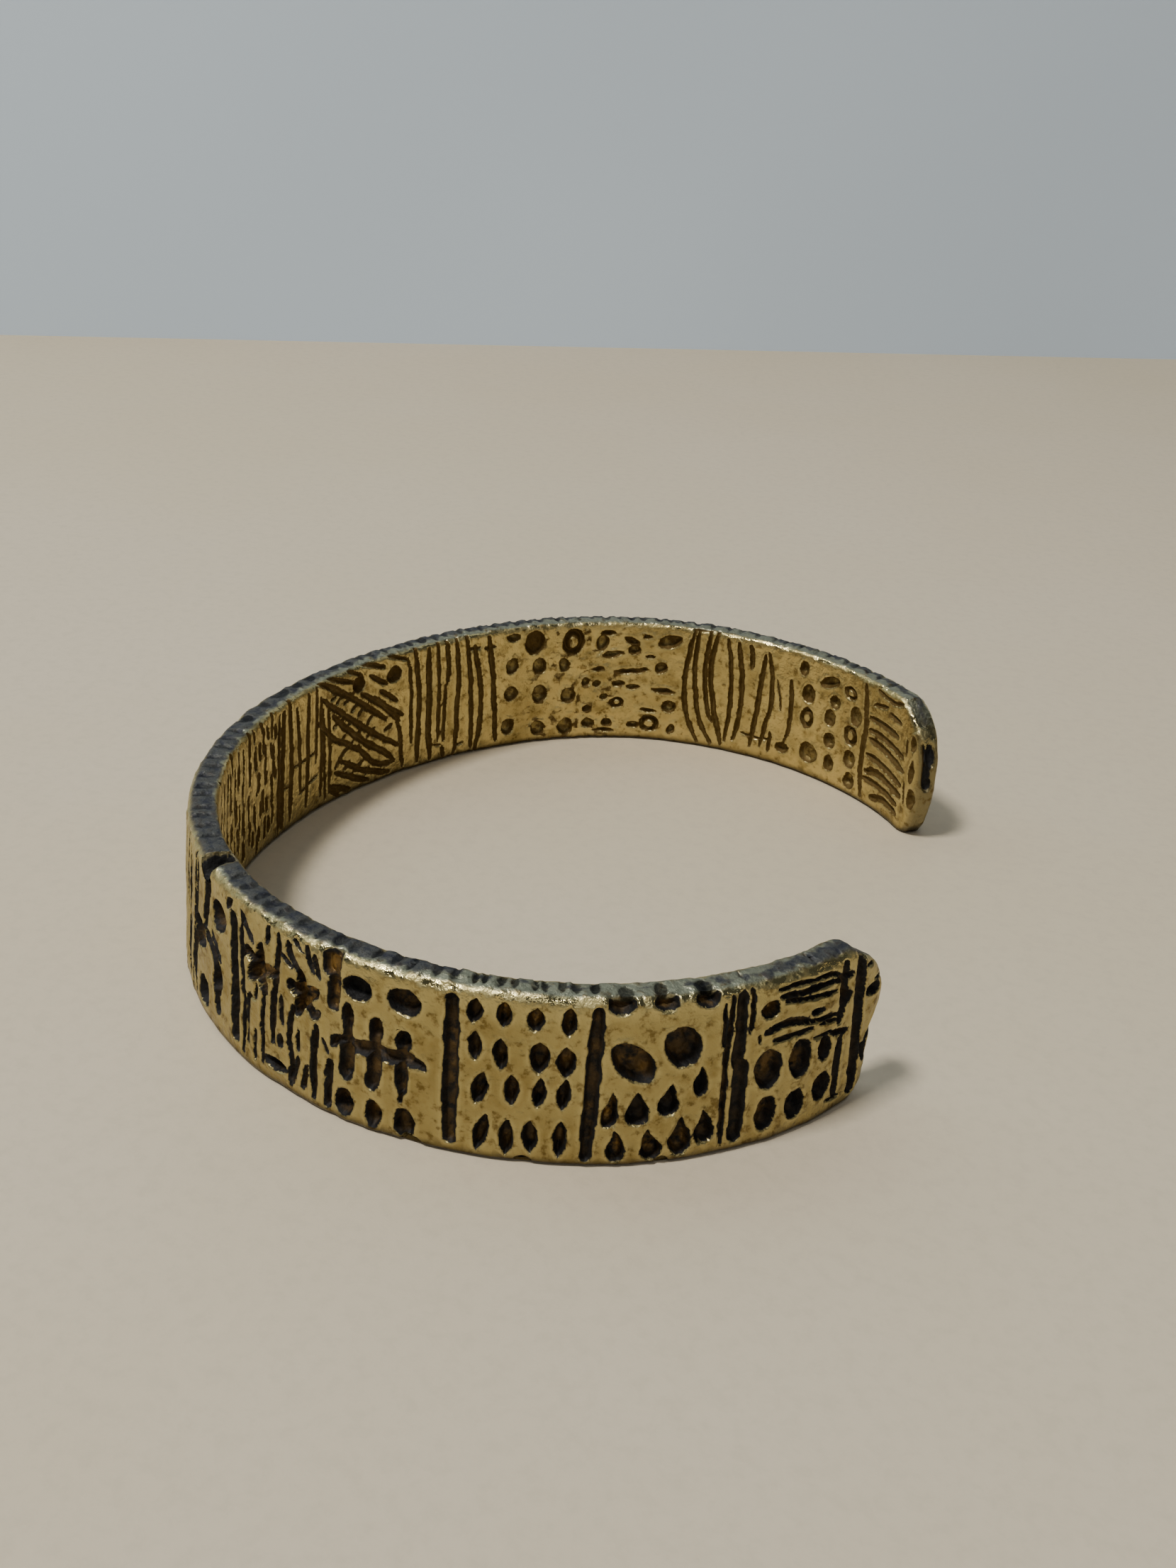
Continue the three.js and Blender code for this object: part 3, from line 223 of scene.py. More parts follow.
INNER_LINES = [
    # Long lines
    (3.1, 41.96, 86.4, 42.1, 12.6), (2.7, 42.73, 91.8, 42.66, 54), (3.1, 42.87, 45, 42.94, 9),
    (3.1, 43.57, 89.1, 43.64, 16.2), (3.1, 44.34, 92.7, 44.27, 59.4), (3.1, 44.48, 50.4, 44.41, 8.1),
    (3.5, 45.17, 86.4, 45.24, 45), (3.1, 45.1, 37.8, 45.17, 13.5), (3.5, 45.87, 93.6, 45.94, 64.8),
    (3.5, 46.01, 55.8, 45.94, 18), (3.1, 46.64, 88.2, 46.57, 62.1), (3.5, 46.71, 52.2, 46.78, 26.1),
    (3.7, 47.34, 92.7, 47.48, 65.7), (3.1, 47.41, 46.8, 47.48, 29.7), (3.5, 46.78, 20.7, 46.85, 9.9),
    (4.1, 48.11, 81, 48.25, 68.4), (3.7, 48.18, 41.4, 48.18, 29.7), (4.1, 47.97, 22.5, 48.04, 11.7),
    (3.5, 48.04, 96.3, 48.18, 89.1), (4.1, 48.81, 84.6, 48.88, 72), (4.1, 48.74, 62.1, 48.81, 48.6),
    (4.1, 49.02, 39.6, 49.02, 28.8), (4.3, 48.74, 21.6, 48.81, 11.7), (3.5, 48.95, 97.2, 49.23, 90),
    (4.1, 49.44, 79.2, 49.51, 71.1), (4.1, 49.58, 59.4, 49.58, 49.5), (3.7, 49.65, 38.7, 49.72, 28.8),
    (4.8, 49.86, 22.5, 49.93, 11.7), (4.1, 50.07, 77.4, 50.35, 65.7), (4.1, 50.35, 63, 50.63, 49.5),
    (4.1, 50.56, 88.2, 50.63, 79.2), (3.7, 50.28, 40.5, 50.35, 28.8), (3.7, 49.65, 91.8, 49.86, 82.8),
    (3.7, 51.01, 93.6, 50.98, 3.6), (2.5, 51.4, 36, 51.54, 10.8), (2.9, 51.47, 90, 51.4, 66.6),
    (4.8, 52.03, 98.1, 52.31, 54, 52.24, 7.2), (3.7, 52.73, 90, 53.08, 58.5, 53.18, 24.3),
    (4.1, 53.85, 95.4, 53.88, 45, 53.81, 9), (3.1, 54.55, 97.2, 54.69, 72, 54.65, 39.6),
    (3.5, 54.97, 87.3, 55.17, 45, 55.1, 10.8), (3.1, 55.24, 77.4, 55.42, 36, 55.52, 5.4),
    (3.1, 55.66, 77.4, 55.91, 45, 55.87, 9), (2.1, 53.08, 21.6, 53.99, 26.1, 54.83, 28.8),
    (1.9, 52.45, 45.9, 54.55, 47.7), (2.1, 51.19, 35.1, 52.1, 33.3),
    # Slanted panel
    (4.6, 54.83, 99, 56.08, 90, 57.48, 78.3, 59.02, 63, 60.42, 49.5),
    (4.4, 55.1, 85.5, 56.78, 68.4, 58.18, 54, 59.72, 38.7, 61.47, 24.3),
    (4, 54.83, 68.4, 56.22, 50.4, 57.34, 41.4, 58.46, 30.6),
    (5, 56.08, 69.3, 57.48, 51.3, 58.88, 36, 60.28, 23.4, 61.05, 14.4),
    (4.2, 58.18, 35.1, 59.3, 19.8, 60.14, 13.5, 61.19, 12.2),
    (4.6, 56.85, 29.7, 58.32, 17.1, 59.72, 9, 60.84, 4.1), (4.2, 56.43, 22.5, 57.76, 12.6, 59.16, 4.5),
    (5, 55.87, 12.6, 56.78, 8.1, 57.62, 3.2), (4, 55.94, 10.8, 56.71, 2.7),
    (3.6, 55.66, 99, 56.92, 92.7, 57.62, 89.1), (3.4, 55.94, 89.1, 57.06, 81, 57.76, 80.1),
    (4.2, 58.39, 77.4, 59.58, 66.6, 60.56, 55.8, 61.47, 44.1),
    (4.2, 59.44, 71.1, 60.56, 58.5, 61.68, 48.6), (3.8, 59.93, 73.8, 60.7, 66.6, 61.19, 61.2),
    (3.6, 58.32, 99.9, 59.3, 96.3, 60.14, 91.8), (3.4, 60.56, 99, 61.82, 92.7),
    (3.4, 59.02, 89.1, 59.72, 82.8, 60.42, 78.3), (3, 57.34, 98.1, 58.32, 92.7),
    (2.6, 55.87, 81.9, 56.36, 83.7), (2.8, 56.36, 77.4, 56.85, 81.9), (2.8, 56.99, 73.8, 57.41, 78.3),
    (2.8, 57.62, 65.7, 58.11, 72), (2.8, 58.18, 60.3, 58.6, 65.7), (2.8, 58.81, 48.6, 59.37, 56.7),
    (2.6, 56.64, 61.2, 57.13, 66.6), (2.6, 57.27, 54.9, 57.62, 58.5), (2.8, 58.11, 45, 58.6, 50.4),
    (2.6, 56.15, 59.4, 56.57, 62.1), (2.6, 58.95, 40.5, 59.51, 45.9), (2.8, 56.71, 44.1, 57.13, 49.5),
    (2.6, 57.41, 37.8, 57.9, 43.2), (3, 60.35, 40.5, 60.91, 43.2),
    (3, 56.36, 26.1, 57.13, 36.9, 57.62, 38.7), (3, 57.06, 21.6, 57.55, 27), (2.8, 58.11, 18, 58.67, 23.4),
    (2.8, 57.62, 12.6, 57.9, 18), (2.6, 58.88, 9.9, 59.23, 15.3),
    (3.4, 61.26, 45.9, 61.61, 30.6, 61.75, 12.6, 61.89, 5.4),
    # Upright lines
    (3.2, 61.89, 92.7, 62.17, 81, 62.34, 49.5, 62.48, 22.5),
    (4.4, 62.45, 99, 62.8, 72, 62.94, 49.5, 62.94, 4.5),
    (5.3, 63.46, 95.4, 63.64, 63, 63.71, 31.5, 63.92, 4.5),
    (3.2, 64.13, 99, 64.34, 72, 64.44, 36, 64.48, 16.2), (4.1, 64.76, 99, 65.03, 81, 65, 65.7),
    (3.2, 64.86, 63, 64.86, 16.2), (3.5, 64.76, 10.8, 64.9, 2.7),
    (4.1, 65.52, 99, 65.77, 72, 65.8, 36, 65.8, 13.5, 65.63, 1.8),
    (3.9, 66.22, 99, 66.57, 72, 66.82, 40.5, 66.92, 5.4),
    (4.4, 66.85, 90, 67.2, 68.4, 67.48, 46.8, 67.48, 21.6, 67.2, 1.8),
    (4.4, 67.83, 95.4, 68.11, 73.8, 68.39, 46.8, 68.6, 18, 68.71, 6.3), (2.1, 66.43, 88.2, 67.27, 87.8),
    (2.3, 67.55, 86.4, 68.32, 86.4), (1.8, 65.73, 9, 66.36, 9.9), (1.8, 64.13, 14.4, 64.69, 13.5),
    # Bowed lines
    (3.9, 81.61, 99, 81.33, 77.4, 81.19, 54, 81.4, 32.4, 81.82, 16.2, 82.38, 3.6),
    (3.9, 81.89, 99, 81.78, 72, 81.96, 46.8, 82.31, 27, 82.73, 14.4, 83.29, 4.5),
    (3.8, 82.66, 99, 82.48, 72, 82.59, 49.5, 82.94, 30.6, 83.22, 23.4),
    (4.4, 83.15, 99, 82.87, 77.4, 82.94, 55.8, 83.29, 34.2, 83.71, 16.2, 83.99, 4.5),
    (3.6, 83.85, 95.4, 84.2, 72, 84.34, 45, 84.3, 23.4, 84.2, 9),
    (4.3, 84.55, 93.6, 84.9, 72, 85.07, 45, 84.97, 23.4, 84.76, 11.7),
    (3.9, 85.42, 93.6, 85.59, 83.7, 85.59, 75.6), (4.3, 86.43, 88.2, 86.29, 63, 86.15, 36, 85.94, 9.9),
    (3.6, 86.71, 91.8, 87.06, 68.4, 87.13, 48.6, 86.85, 30.6, 86.61, 11.7),
    (1.7, 87.41, 72, 87.69, 57.6, 87.83, 46.8), (3.4, 88.39, 73.8, 88.53, 57.6, 88.57, 36, 88.32, 21.6),
    (2.2, 85.24, 18.9, 86.29, 18, 87.34, 19.8), (3.4, 87.31, 25.2, 87.2, 9), (1.7, 82.52, 99, 81.54, 99),
    # Last strokes
    (4.9, 94.06, 93.6, 94.27, 77.4, 94.44, 63, 94.34, 45, 94.37, 27, 94.55, 5.4),
    (4.9, 94.76, 71.1, 95.94, 71.6, 97.34, 69.3), (4.9, 94.83, 61.7, 96.22, 61.2, 98.11, 56.7),
    (5.4, 94.9, 54.9, 96.36, 52.7, 98.25, 46.8), (5.4, 94.76, 41.4, 96.36, 39.6, 98.18, 35.1),
    (5.9, 94.83, 27.9, 95.94, 31.1, 98.25, 26.1), (4.9, 94.69, 21.6, 96.22, 21.6, 97.97, 18),
    (5.4, 95.52, 9, 96.64, 13.5, 98.04, 10.8), (3.5, 95.1, 95.4, 96.5, 92.7, 97.48, 95.4),
    (3.5, 94.97, 82.8, 96.08, 86.4), (3.5, 96.36, 82.8, 97.48, 81), (2.6, 98.53, 39.6, 98.67, 23.4),
    (3, 98.32, 72, 98.39, 61.2),
]

# Worked panels that repeat a punch: (pattern, from, to)
OUTER_PANELS = [
    ("uprights", 35.0, 38.6), ("drops", 39.6, 46.4), ("almonds", 47.6, 54.2), ("slants", 55.2, 61.6),
    ("pits", 62.8, 69.4), ("uprights", 70.4, 75.6), ("almonds", 76.8, 83.4), ("drops", 84.6, 90.8),
    ("slants", 92.0, 96.6),
]
INNER_PANELS = [
    ("uprights", 4.0, 10.4), ("dots", 11.6, 18.6), ("slants", 19.8, 26.6), ("uprights", 27.8, 34.4),
    ("dots", 35.0, 39.4), ("hatching", 40.4, 50.8),
]

# What each pattern repeats: (shape, columns, rows, long, wide, turn, foot, head, stagger). foot
# and head bound the rows, and stagger shifts the columns up and down, in hundredths of the height.
PATTERNS = {
    "almonds": ("almond", 3, 3, 22, 9, 0, 5, 95, 0),
    "drops": ("drop", 3, 3, 21, 12, 0, 4, 92, 0),
    "pits": ("oval", 3, 3, 19, 13, 12, 5, 93, 0),
    "dots": ("oval", 3, 4, 13, 10.8, 0, 5, 95, 0),
    "uprights": ("stroke", 6, 1, 88, 3.4, -2, 5, 95, 0),
    "slants": ("stroke", 1, 6, 46, 4, 66, 6, 92, 0),
    "hatching": ("stroke", 11, 4, 18, 3.7, 0, 5, 95, 8),
}

# Hammer nicks across the rim: (from, to, nicks, wide, in, soiled), wide and in as shares of the wall
RIM_NICKS = [
    (4, 9, 2, 0.2, 0.5, 0.3),
    (9.3, 14.2, 3, 0.58, 0.45, 1.0),
    (14.2, 19.7, 9, 0.27, 0.66, 1.0),
    (19.7, 24, 5, 0.32, 0.62, 0.9),
    (24, 33, 9, 0.34, 0.62, 0.5),
    (35.6, 48, 12, 0.36, 0.5, 0.6),
    (48.5, 57.5, 6, 0.78, 0.32, 1.0),
    (57.5, 64, 7, 0.4, 0.35, 0.9),
    (64, 82, 22, 0.3, 0.35, 0.7),
    (82, 96, 14, 0.22, 0.4, 0.4),
]

# How the rim is tarnished: (at, share, in), in as a share of the wall
RIM_TARNISH = [
    (0, 0.62, 0.4), (7, 0.5, 0.5), (13, 0.12, 0.6), (19.4, 0.16, 0.7), (21, 0.85, 0.72), (32, 1.0, 0.72),
    (36, 0.95, 0.5), (48, 0.85, 0.42), (58, 0.7, 0.35), (74, 0.55, 0.25), (90, 0.5, 0.3), (100, 0.35, 0.5),
]

# Chips in the foot of the outer face: (at, wide), wide in hundredths of the height
EDGE_CHIPS = [(11.4, 9), (16.9, 11), (21.4, 14), (57.0, 12), (81.0, 10)]

# Dents in the face of the far end: (up, in, long, wide), in as a share of the wall and the rest
# in hundredths of the height
END_DENTS = [
    (68, 0.82, 19, 9), (67, 0.48, 22, 9), (53, 0.66, 24, 11), (60, 0.80, 16, 7), (45, 0.52, 13, 9),
]


def smooth(low, high, value):
    share = np.clip((value - low) / (high - low), 0.0, 1.0)
    return share * share * (3.0 - 2.0 * share)


class Noise:
    """Smooth seeded noise over a plane, from about -1 to 1."""

    def __init__(self, seed):
        self.table = np.random.default_rng(seed).uniform(-1.0, 1.0, (NOISE_CELLS, NOISE_CELLS))

    def __call__(self, x, y):
        x0 = np.floor(x).astype(int)
        y0 = np.floor(y).astype(int)
        fx = x - x0
        fy = y - y0
        fx = fx * fx * (3 - 2 * fx)
        fy = fy * fy * (3 - 2 * fy)

        def pick(i, j):
            return self.table[(x0 + i) % NOISE_CELLS, (y0 + j) % NOISE_CELLS]

        low = pick(0, 0) * (1 - fx) + pick(1, 0) * fx
        high = pick(0, 1) * (1 - fx) + pick(1, 1) * fx
        return low * (1 - fy) + high * fy


def outline():
    """The outer line of the rim, with the way out and the distance along it."""
    mean = (INSIDE_LENGTH + INSIDE_WIDTH) / 4 + WALL
    rise = (INSIDE_LENGTH - INSIDE_WIDTH) / 4
    share = np.linspace(0.0, 1.0, OUTLINE_STEPS)
    angle = -np.radians(GAP_ANGLE / 2 + (360 - GAP_ANGLE) * share)
    radius = mean + rise * np.cos(2 * (angle - math.radians(LONG_WAY_TURN)))
    for waves, height, crest in OUTLINE_WAVES:
        radius += mean * height * np.cos(waves * (angle - math.radians(crest)))
    x = radius * np.cos(angle)
    y = radius * np.sin(angle)
    along = np.concatenate([[0.0], np.cumsum(np.hypot(np.diff(x), np.diff(y)))])
    dx = np.gradient(x, along)
    dy = np.gradient(y, along)
    length = np.hypot(dx, dy)
    return along, x, y, -dy / length, dx / length


def section():
    """The band's section as (in, up), from the foot of the outer face round to the underside."""
    parts = []

    def corner(centre, radii, start, end):
        angles = np.radians(np.linspace(start, end, CORNER_STEPS))
        parts.append(np.column_stack([
            centre[0] + radii[0] * np.cos(angles),
            centre[1] + radii[1] * np.sin(angles),
        ]))

    top = BAND_HEIGHT
    corner(FOOT_ROUND, FOOT_ROUND, 270, 180)
    corner((SHOULDER_ROUND[0], top - SHOULDER_DROP), SHOULDER_ROUND, 180, 90)
    parts.append(np.array([[CREST_IN, top]]))
    corner((WALL - RIM_ROUND[0], top - RIM_DROP), RIM_ROUND, 90, 0)
    corner((WALL - INNER_FOOT_ROUND[0], INNER_FOOT_ROUND[1]), INNER_FOOT_ROUND, 0, -90)
    points = np.vstack(parts)
    points = np.vstack([points, points[:1]])
    length = np.concatenate([[0.0], np.cumsum(np.hypot(*np.diff(points, axis=0).T))])
    place = np.linspace(0.0, length[-1], GRID_ROUND, endpoint=False)
    return np.interp(place, length, points[:, 0]), np.interp(place, length, points[:, 1])


def end_profile(table):
    """How far an end lies back at each height, smoothed."""
    ups, backs = np.array(table).T
    fine = np.linspace(-0.15, 1.15, 521)
    values = np.interp(fine, ups, backs)
    kernel = np.hanning(37)
    values = np.convolve(np.pad(values, 18, mode="edge"), kernel / kernel.sum(), mode="valid")
    return fine, values


OUT_ALONG, *OUT_LINE = outline()
BAND_LENGTH = float(OUT_ALONG[-1])
LEAN = math.tan(math.radians(WALL_LEAN))


def length_at(at):
    return at / 100 * BAND_LENGTH


def height_at(up):
    return up / 100 * BAND_HEIGHT


def on_outline(along):
    """Points of the outline, and the way out at each, as x, y, nx and ny."""
    return [np.interp(along, OUT_ALONG, values) for values in OUT_LINE]


def place_points(along, inwards, up):
    x, y, nx, ny = on_outline(along)
    offset = LEAN * (BAND_HEIGHT - up) - inwards
    return np.stack([x + nx * offset, y + ny * offset, up], axis=-1)


def box_middle(points):
    """The middle of the points' box, seen from above."""
    flat = points[..., :2].reshape(-1, 2)
    return (flat.min(axis=0) + flat.max(axis=0)) / 2


def grid_normals(points):
    """Normals of a grid that is closed round its second direction."""
    ahead = np.gradient(points, axis=0)
    wrapped = np.concatenate([points[:, -1:], points, points[:, :1]], axis=1)
    round_it = (wrapped[:, 2:] - wrapped[:, :-2]) / 2
    normal = np.cross(round_it, ahead)
    length = np.linalg.norm(normal, axis=-1, keepdims=True)
    return normal / np.maximum(length, 1e-9)


def mark_distance(shape, x, y, wide, long):
    """How far inside a mark's edge each point lies, in millimetres; negative outside."""
    a = wide / 2
    b = long / 2
    if shape == "stroke":
        reach = np.abs(y) - max(b - a, 0.0)
        gap = np.hypot(x, np.maximum(reach, 0.0))
        return a * (1.0 - 0.25 * (y / b) ** 4) - gap
    r = np.hypot(x / a, y / b)
    if shape == "star":
        angle = np.arctan2(x / a, y / b)
        edge = 0.5 + 0.55 * np.abs(np.cos(2.5 * angle)) ** 1.6
        return (edge - r) * min(a, b)
    if shape == "ring":
        return np.minimum(1.0 - r, r - 0.42) * min(a, b)
    if shape == "oval":
        return (1.0 - r) * min(a, b)
    u = np.clip(y / b, -1.3, 1.3)
    if shape == "almond":
        width = a * (1.0 - np.abs(u) ** 2.3)
    else:
        low = np.sqrt(np.clip(1.0 - ((u + 0.25) / 0.75) ** 2, 0.0, 1.0))
        high = np.clip((1.0 - u) / 1.25, 0.0, 1.0) ** 0.85
        width = a * np.where(u < -0.25, low, high)
    width = np.where(np.abs(u) > 1.0, -b * (np.abs(u) - 1.0), width)
    return np.minimum(width - np.abs(x), (1.0 - np.abs(u)) * b)


def panel_marks(pattern, start, end, rng):
    """The marks of a repeated panel, with the divider after it."""
    shape, columns, rows, long, wide, turn, foot, head, stagger = PATTERNS[pattern]
    marks = []
    for column in range(columns):
        for row in range(rows):
            at = start + (end - start) * (column + 0.5) / columns
            up = foot + (head - foot) * (row + 0.5) / rows + stagger * math.sin(2.1 * column)
            waver = math.sin(7.3 * at + 2.9 * row)
            marks.append((
                shape,
                at + 0.12 * waver,
                up + waver,
                long * (1 - 0.06 * waver),
                wide * (1 + 0.1 * rng.uniform(-1, 1)),
                turn + 3 * waver,
                rng.uniform(0.1, 0.7),
            ))
    marks.append(("stroke", end + 0.6, 50, 90, 6, 1, 0.1))
    return marks


def face_marks(charts, panels, rng):
    """All the marks of a face, the charted ones first."""
    marks = [(shape, *mark) for shape, chart in charts.items() for mark in chart]
    for pattern, start, end in panels:
        marks += panel_marks(pattern, start, end, rng)
    return marks


def line_points(points):
    """A smooth run of points through those given, in millimetres."""
    path = np.reshape(points, (-1, 2)) / 100 * [BAND_LENGTH, BAND_HEIGHT]
    if len(path) < 3:
        return path
    whole = np.vstack([2 * path[0] - path[1], path, 2 * path[-1] - path[-2]])
    run = []
    for a, b, c, d in zip(whole, whole[1:], whole[2:], whole[3:]):
        for t in (0.0, 0.25, 0.5, 0.75):
            run.append(0.5 * (
                2 * b + (c - a) * t + (2 * a - 5 * b + 4 * c - d) * t ** 2
                + (3 * b - a - 3 * c + d) * t ** 3
            ))
    return np.vstack([run, path[-1:]])


def line_distance(path, wide, x, y):
    """How far inside a chased line each point lies; its ends taper."""
    steps = np.hypot(*np.diff(path, axis=0).T)
    total = steps.sum()
    travelled = np.concatenate([[0.0], np.cumsum(steps)])
    best = np.full(x.shape, -9.0)
    for (x0, y0), (x1, y1), start, step in zip(path, path[1:], travelled, steps):
        dx = x1 - x0
        dy = y1 - y0
        t = np.clip(((x - x0) * dx + (y - y0) * dy) / (step * step + 1e-9), 0, 1)
        gap = np.hypot(x - x0 - t * dx, y - y0 - t * dy)
        share = (start + t * step) / total
        half = wide / 2 * (0.62 + 0.38 * np.clip(np.sin(math.pi * share) * 2.2, 0, 1))
        best = np.maximum(best, half - gap)
    return best


# What is kept for each point of a face
FIELDS = ("depth", "lip", "bare", "cover", "light_halo")


class Face:
    """What the marks of one face do to each point of the grid."""

    def __init__(self, band, pit_depth, stroke_depth):
        self.band = band
        self.pit_depth = pit_depth
        self.stroke_depth = stroke_depth
        self.middle = band.along[:, band.along.shape[1] // 2]
        self.fields = [np.zeros_like(band.along) for field in FIELDS]

    def near(self, s0, s1, z0, z1):
        """The rows that may hold a mark, and which of their points are close to it."""
        rows = slice(*np.searchsorted(self.middle, (s0 - SLACK, s1 + SLACK)))
        s = self.band.along[rows]
        z = self.band.up[rows]
        return rows, (s > s0) & (s < s1) & (z > z0) & (z < z1)

    def swayed(self, rows, near, sway):
        """The near points as along and up, moved a little so that edges waver."""
        band = self.band
        along = band.along[rows][near] + sway * band.sway_along[rows][near]
        return along, band.up[rows][near] + sway * band.sway_up[rows][near]

    def press(self, rows, near, edge, full, wide, bare):
        """Sink a mark, given how far inside its edge each near point lies."""
        sway = self.band.sway_along[rows][near]
        grit = self.band.grit[rows][near]
        edge = edge + EDGE_GRIT * grit
        wall = min(PIT_WALL, 0.5 * wide)
        raised = np.exp(-((edge + LIP_OUT) / LIP_WIDE) ** 2)
        pressed = (
            full * smooth(-0.02, wall, edge) * (1.0 + FLOOR_GRIT * grit),
            raised * min(1.0, 0.4 + wide),
            bare * smooth(0.3 * wall, 1.2 * wall, edge) * (0.95 + 0.7 * sway),
            smooth(-0.035, 0.045, edge),
            smooth(-HALO_REACH, -0.03, edge),
        )
        for field, value in zip(self.fields, pressed):
            part = field[rows]
            part[near] = np.maximum(part[near], value)

    def mark(self, shape, at, up, long, wide, turn, bare):
        s0 = length_at(at)
        z0 = height_at(up)
        long = height_at(long)
        wide = height_at(wide)
        reach = math.hypot(long, wide) / 2 + 0.5
        rows, near = self.near(s0 - reach, s0 + reach, z0 - reach, z0 + reach)
        s, z = self.swayed(rows, near, MARK_SWAY)
        cos = math.cos(math.radians(turn))
        sin = math.sin(math.radians(turn))
        x = (s - s0) * cos - (z - z0) * sin
        y = (s - s0) * sin + (z - z0) * cos
        edge = mark_distance(shape, x, y, wide * 1.04, long * 1.02)
        depth = self.stroke_depth if shape == "stroke" else self.pit_depth
        self.press(rows, near, edge, depth * min(1.0, 0.45 + wide / 2), wide, bare)

    def line(self, wide, *points):
        wide = height_at(wide)
        path = line_points(points)
        low = path.min(axis=0) - 0.6
        high = path.max(axis=0) + 0.6
        rows, near = self.near(low[0], high[0], low[1], high[1])
        edge = line_distance(path, wide * 1.1, *self.swayed(rows, near, LINE_SWAY))
        self.press(rows, near, edge, self.stroke_depth * min(1.0, 0.5 + wide / 2), wide, 0.25)


def base_rows():
    """Stations as (distance from the near end, thickness share); each end is a rounded face."""
    flat = np.column_stack([np.zeros(9), np.linspace(0.0, END_FLAT, 10)[:9]])
    turn = np.radians(np.linspace(0, 90, 22))
    bend = np.column_stack([
        END_ROUND * WALL * (1 - np.cos(turn)),
        END_FLAT + (1 - END_FLAT) * np.sin(turn),
    ])
    close = np.vstack([flat, bend])
    middle = np.linspace(close[-1, 0], BAND_LENGTH - close[-1, 0], GRID_ALONG)[1:-1]
    middle = np.column_stack([middle, np.ones_like(middle)])
    far = close[::-1].copy()
    far[:, 0] = BAND_LENGTH - far[:, 0]
    return np.vstack([close, middle, far])


def base_grid():
    """The plain band as a grid: stations along it, points round its section."""
    rows = base_rows()
    inwards, up = section()
    flat = np.zeros((len(rows), len(up)))
    station = rows[:, :1] + flat
    thickness = rows[:, 1:] + flat
    inwards = inwards[None, :] + flat
    up = up[None, :] + flat
    is_near = station < BAND_LENGTH / 2
    from_end = np.where(is_near, station, BAND_LENGTH - station)
    back = np.where(
        is_near,
        np.interp(up / BAND_HEIGHT, *end_profile(NEAR_END)),
        np.interp(up / BAND_HEIGHT, *end_profile(FAR_END)),
    ) * BAND_HEIGHT
    shift = back * np.clip(1 - from_end / END_REACH, 0, 1)
    along = np.where(is_near, station + shift, station - shift)
    inwards = WALL * (0.5 + (inwards / WALL - 0.5) * thickness)
    return along, inwards, up


class Band:
    """The smooth band with its notch: where each point of the grid lies and which way it faces."""

    def __init__(self):
        self.rough = Noise(11)
        self.medium = Noise(12)
        self.fine = Noise(13)
        self.along, self.inwards, up = base_grid()
        along = self.along
        floor = self.notch_floor(up)
        self.cut = np.clip(up - floor, 0, None)
        up = np.minimum(up, floor)
        self.up = up
        self.points = place_points(along, self.inwards, up)
        self.middle = box_middle(self.points)
        normal = grid_normals(self.points)
        self.normal = normal
        nx, ny = on_outline(along)[2:]
        outness = normal[..., 0] * nx + normal[..., 1] * ny
        self.outness = outness
        self.upness = normal[..., 2]
        self.ahead = ny * normal[..., 0] - nx * normal[..., 1]
        self.outer = smooth(0.2, 0.55, outness)
        self.inner = smooth(0.2, 0.55, -outness)
        self.rim = smooth(0.45, 0.9, self.upness) * (up > BAND_HEIGHT - RIM_DEEP)
        self.far = smooth(0.5, 0.9, self.ahead) * (along > BAND_LENGTH / 2)
        self.sway_along = self.medium(along / 0.5, up / 0.5)
        self.sway_up = self.medium(along / 0.5 + 40, up / 0.5 + 9)
        self.grit = 0.6 * self.fine(along / 0.42, up / 0.42)
        self.grit += 0.4 * self.fine(along / 0.21 + 30, up / 0.21)

    def notch_floor(self, up):
        """How high the metal reaches under the V that is cut right through the rim."""
        narrow = 1 - 0.35 * self.inwards / WALL
        waver = 0.12 * self.medium(up / 0.5, self.inwards / 0.5)
        away = np.abs(self.along - length_at(NOTCH_AT) + waver) / (NOTCH_WIDTH / 2 * narrow)
        shallow = 1 - 0.75 * smooth(0.72, 0.98, self.inwards / WALL)
        return BAND_HEIGHT - NOTCH_DEPTH * shallow * np.clip(1.6 * (1 - away), 0, 1) ** 0.6


def worked_faces(band, rng):
    """What the marks of both faces do, field by field."""
    outer_marks = face_marks(OUTER_MARKS, OUTER_PANELS, rng)
    inner_marks = face_marks(INNER_MARKS, INNER_PANELS, rng)
    outside = Face(band, OUTER_PIT_DEPTH, OUTER_STROKE_DEPTH)
    within = Face(band, INNER_PIT_DEPTH, INNER_STROKE_DEPTH)
    sides = ((outside, outer_marks, OUTER_LINES), (within, inner_marks, INNER_LINES))
    for face, marks, lines in sides:
        for mark in marks:
            face.mark(*mark)
        for line in lines:
            face.line(*line)
    return [band.outer * a + band.inner * b for a, b in zip(outside.fields, within.fields)]


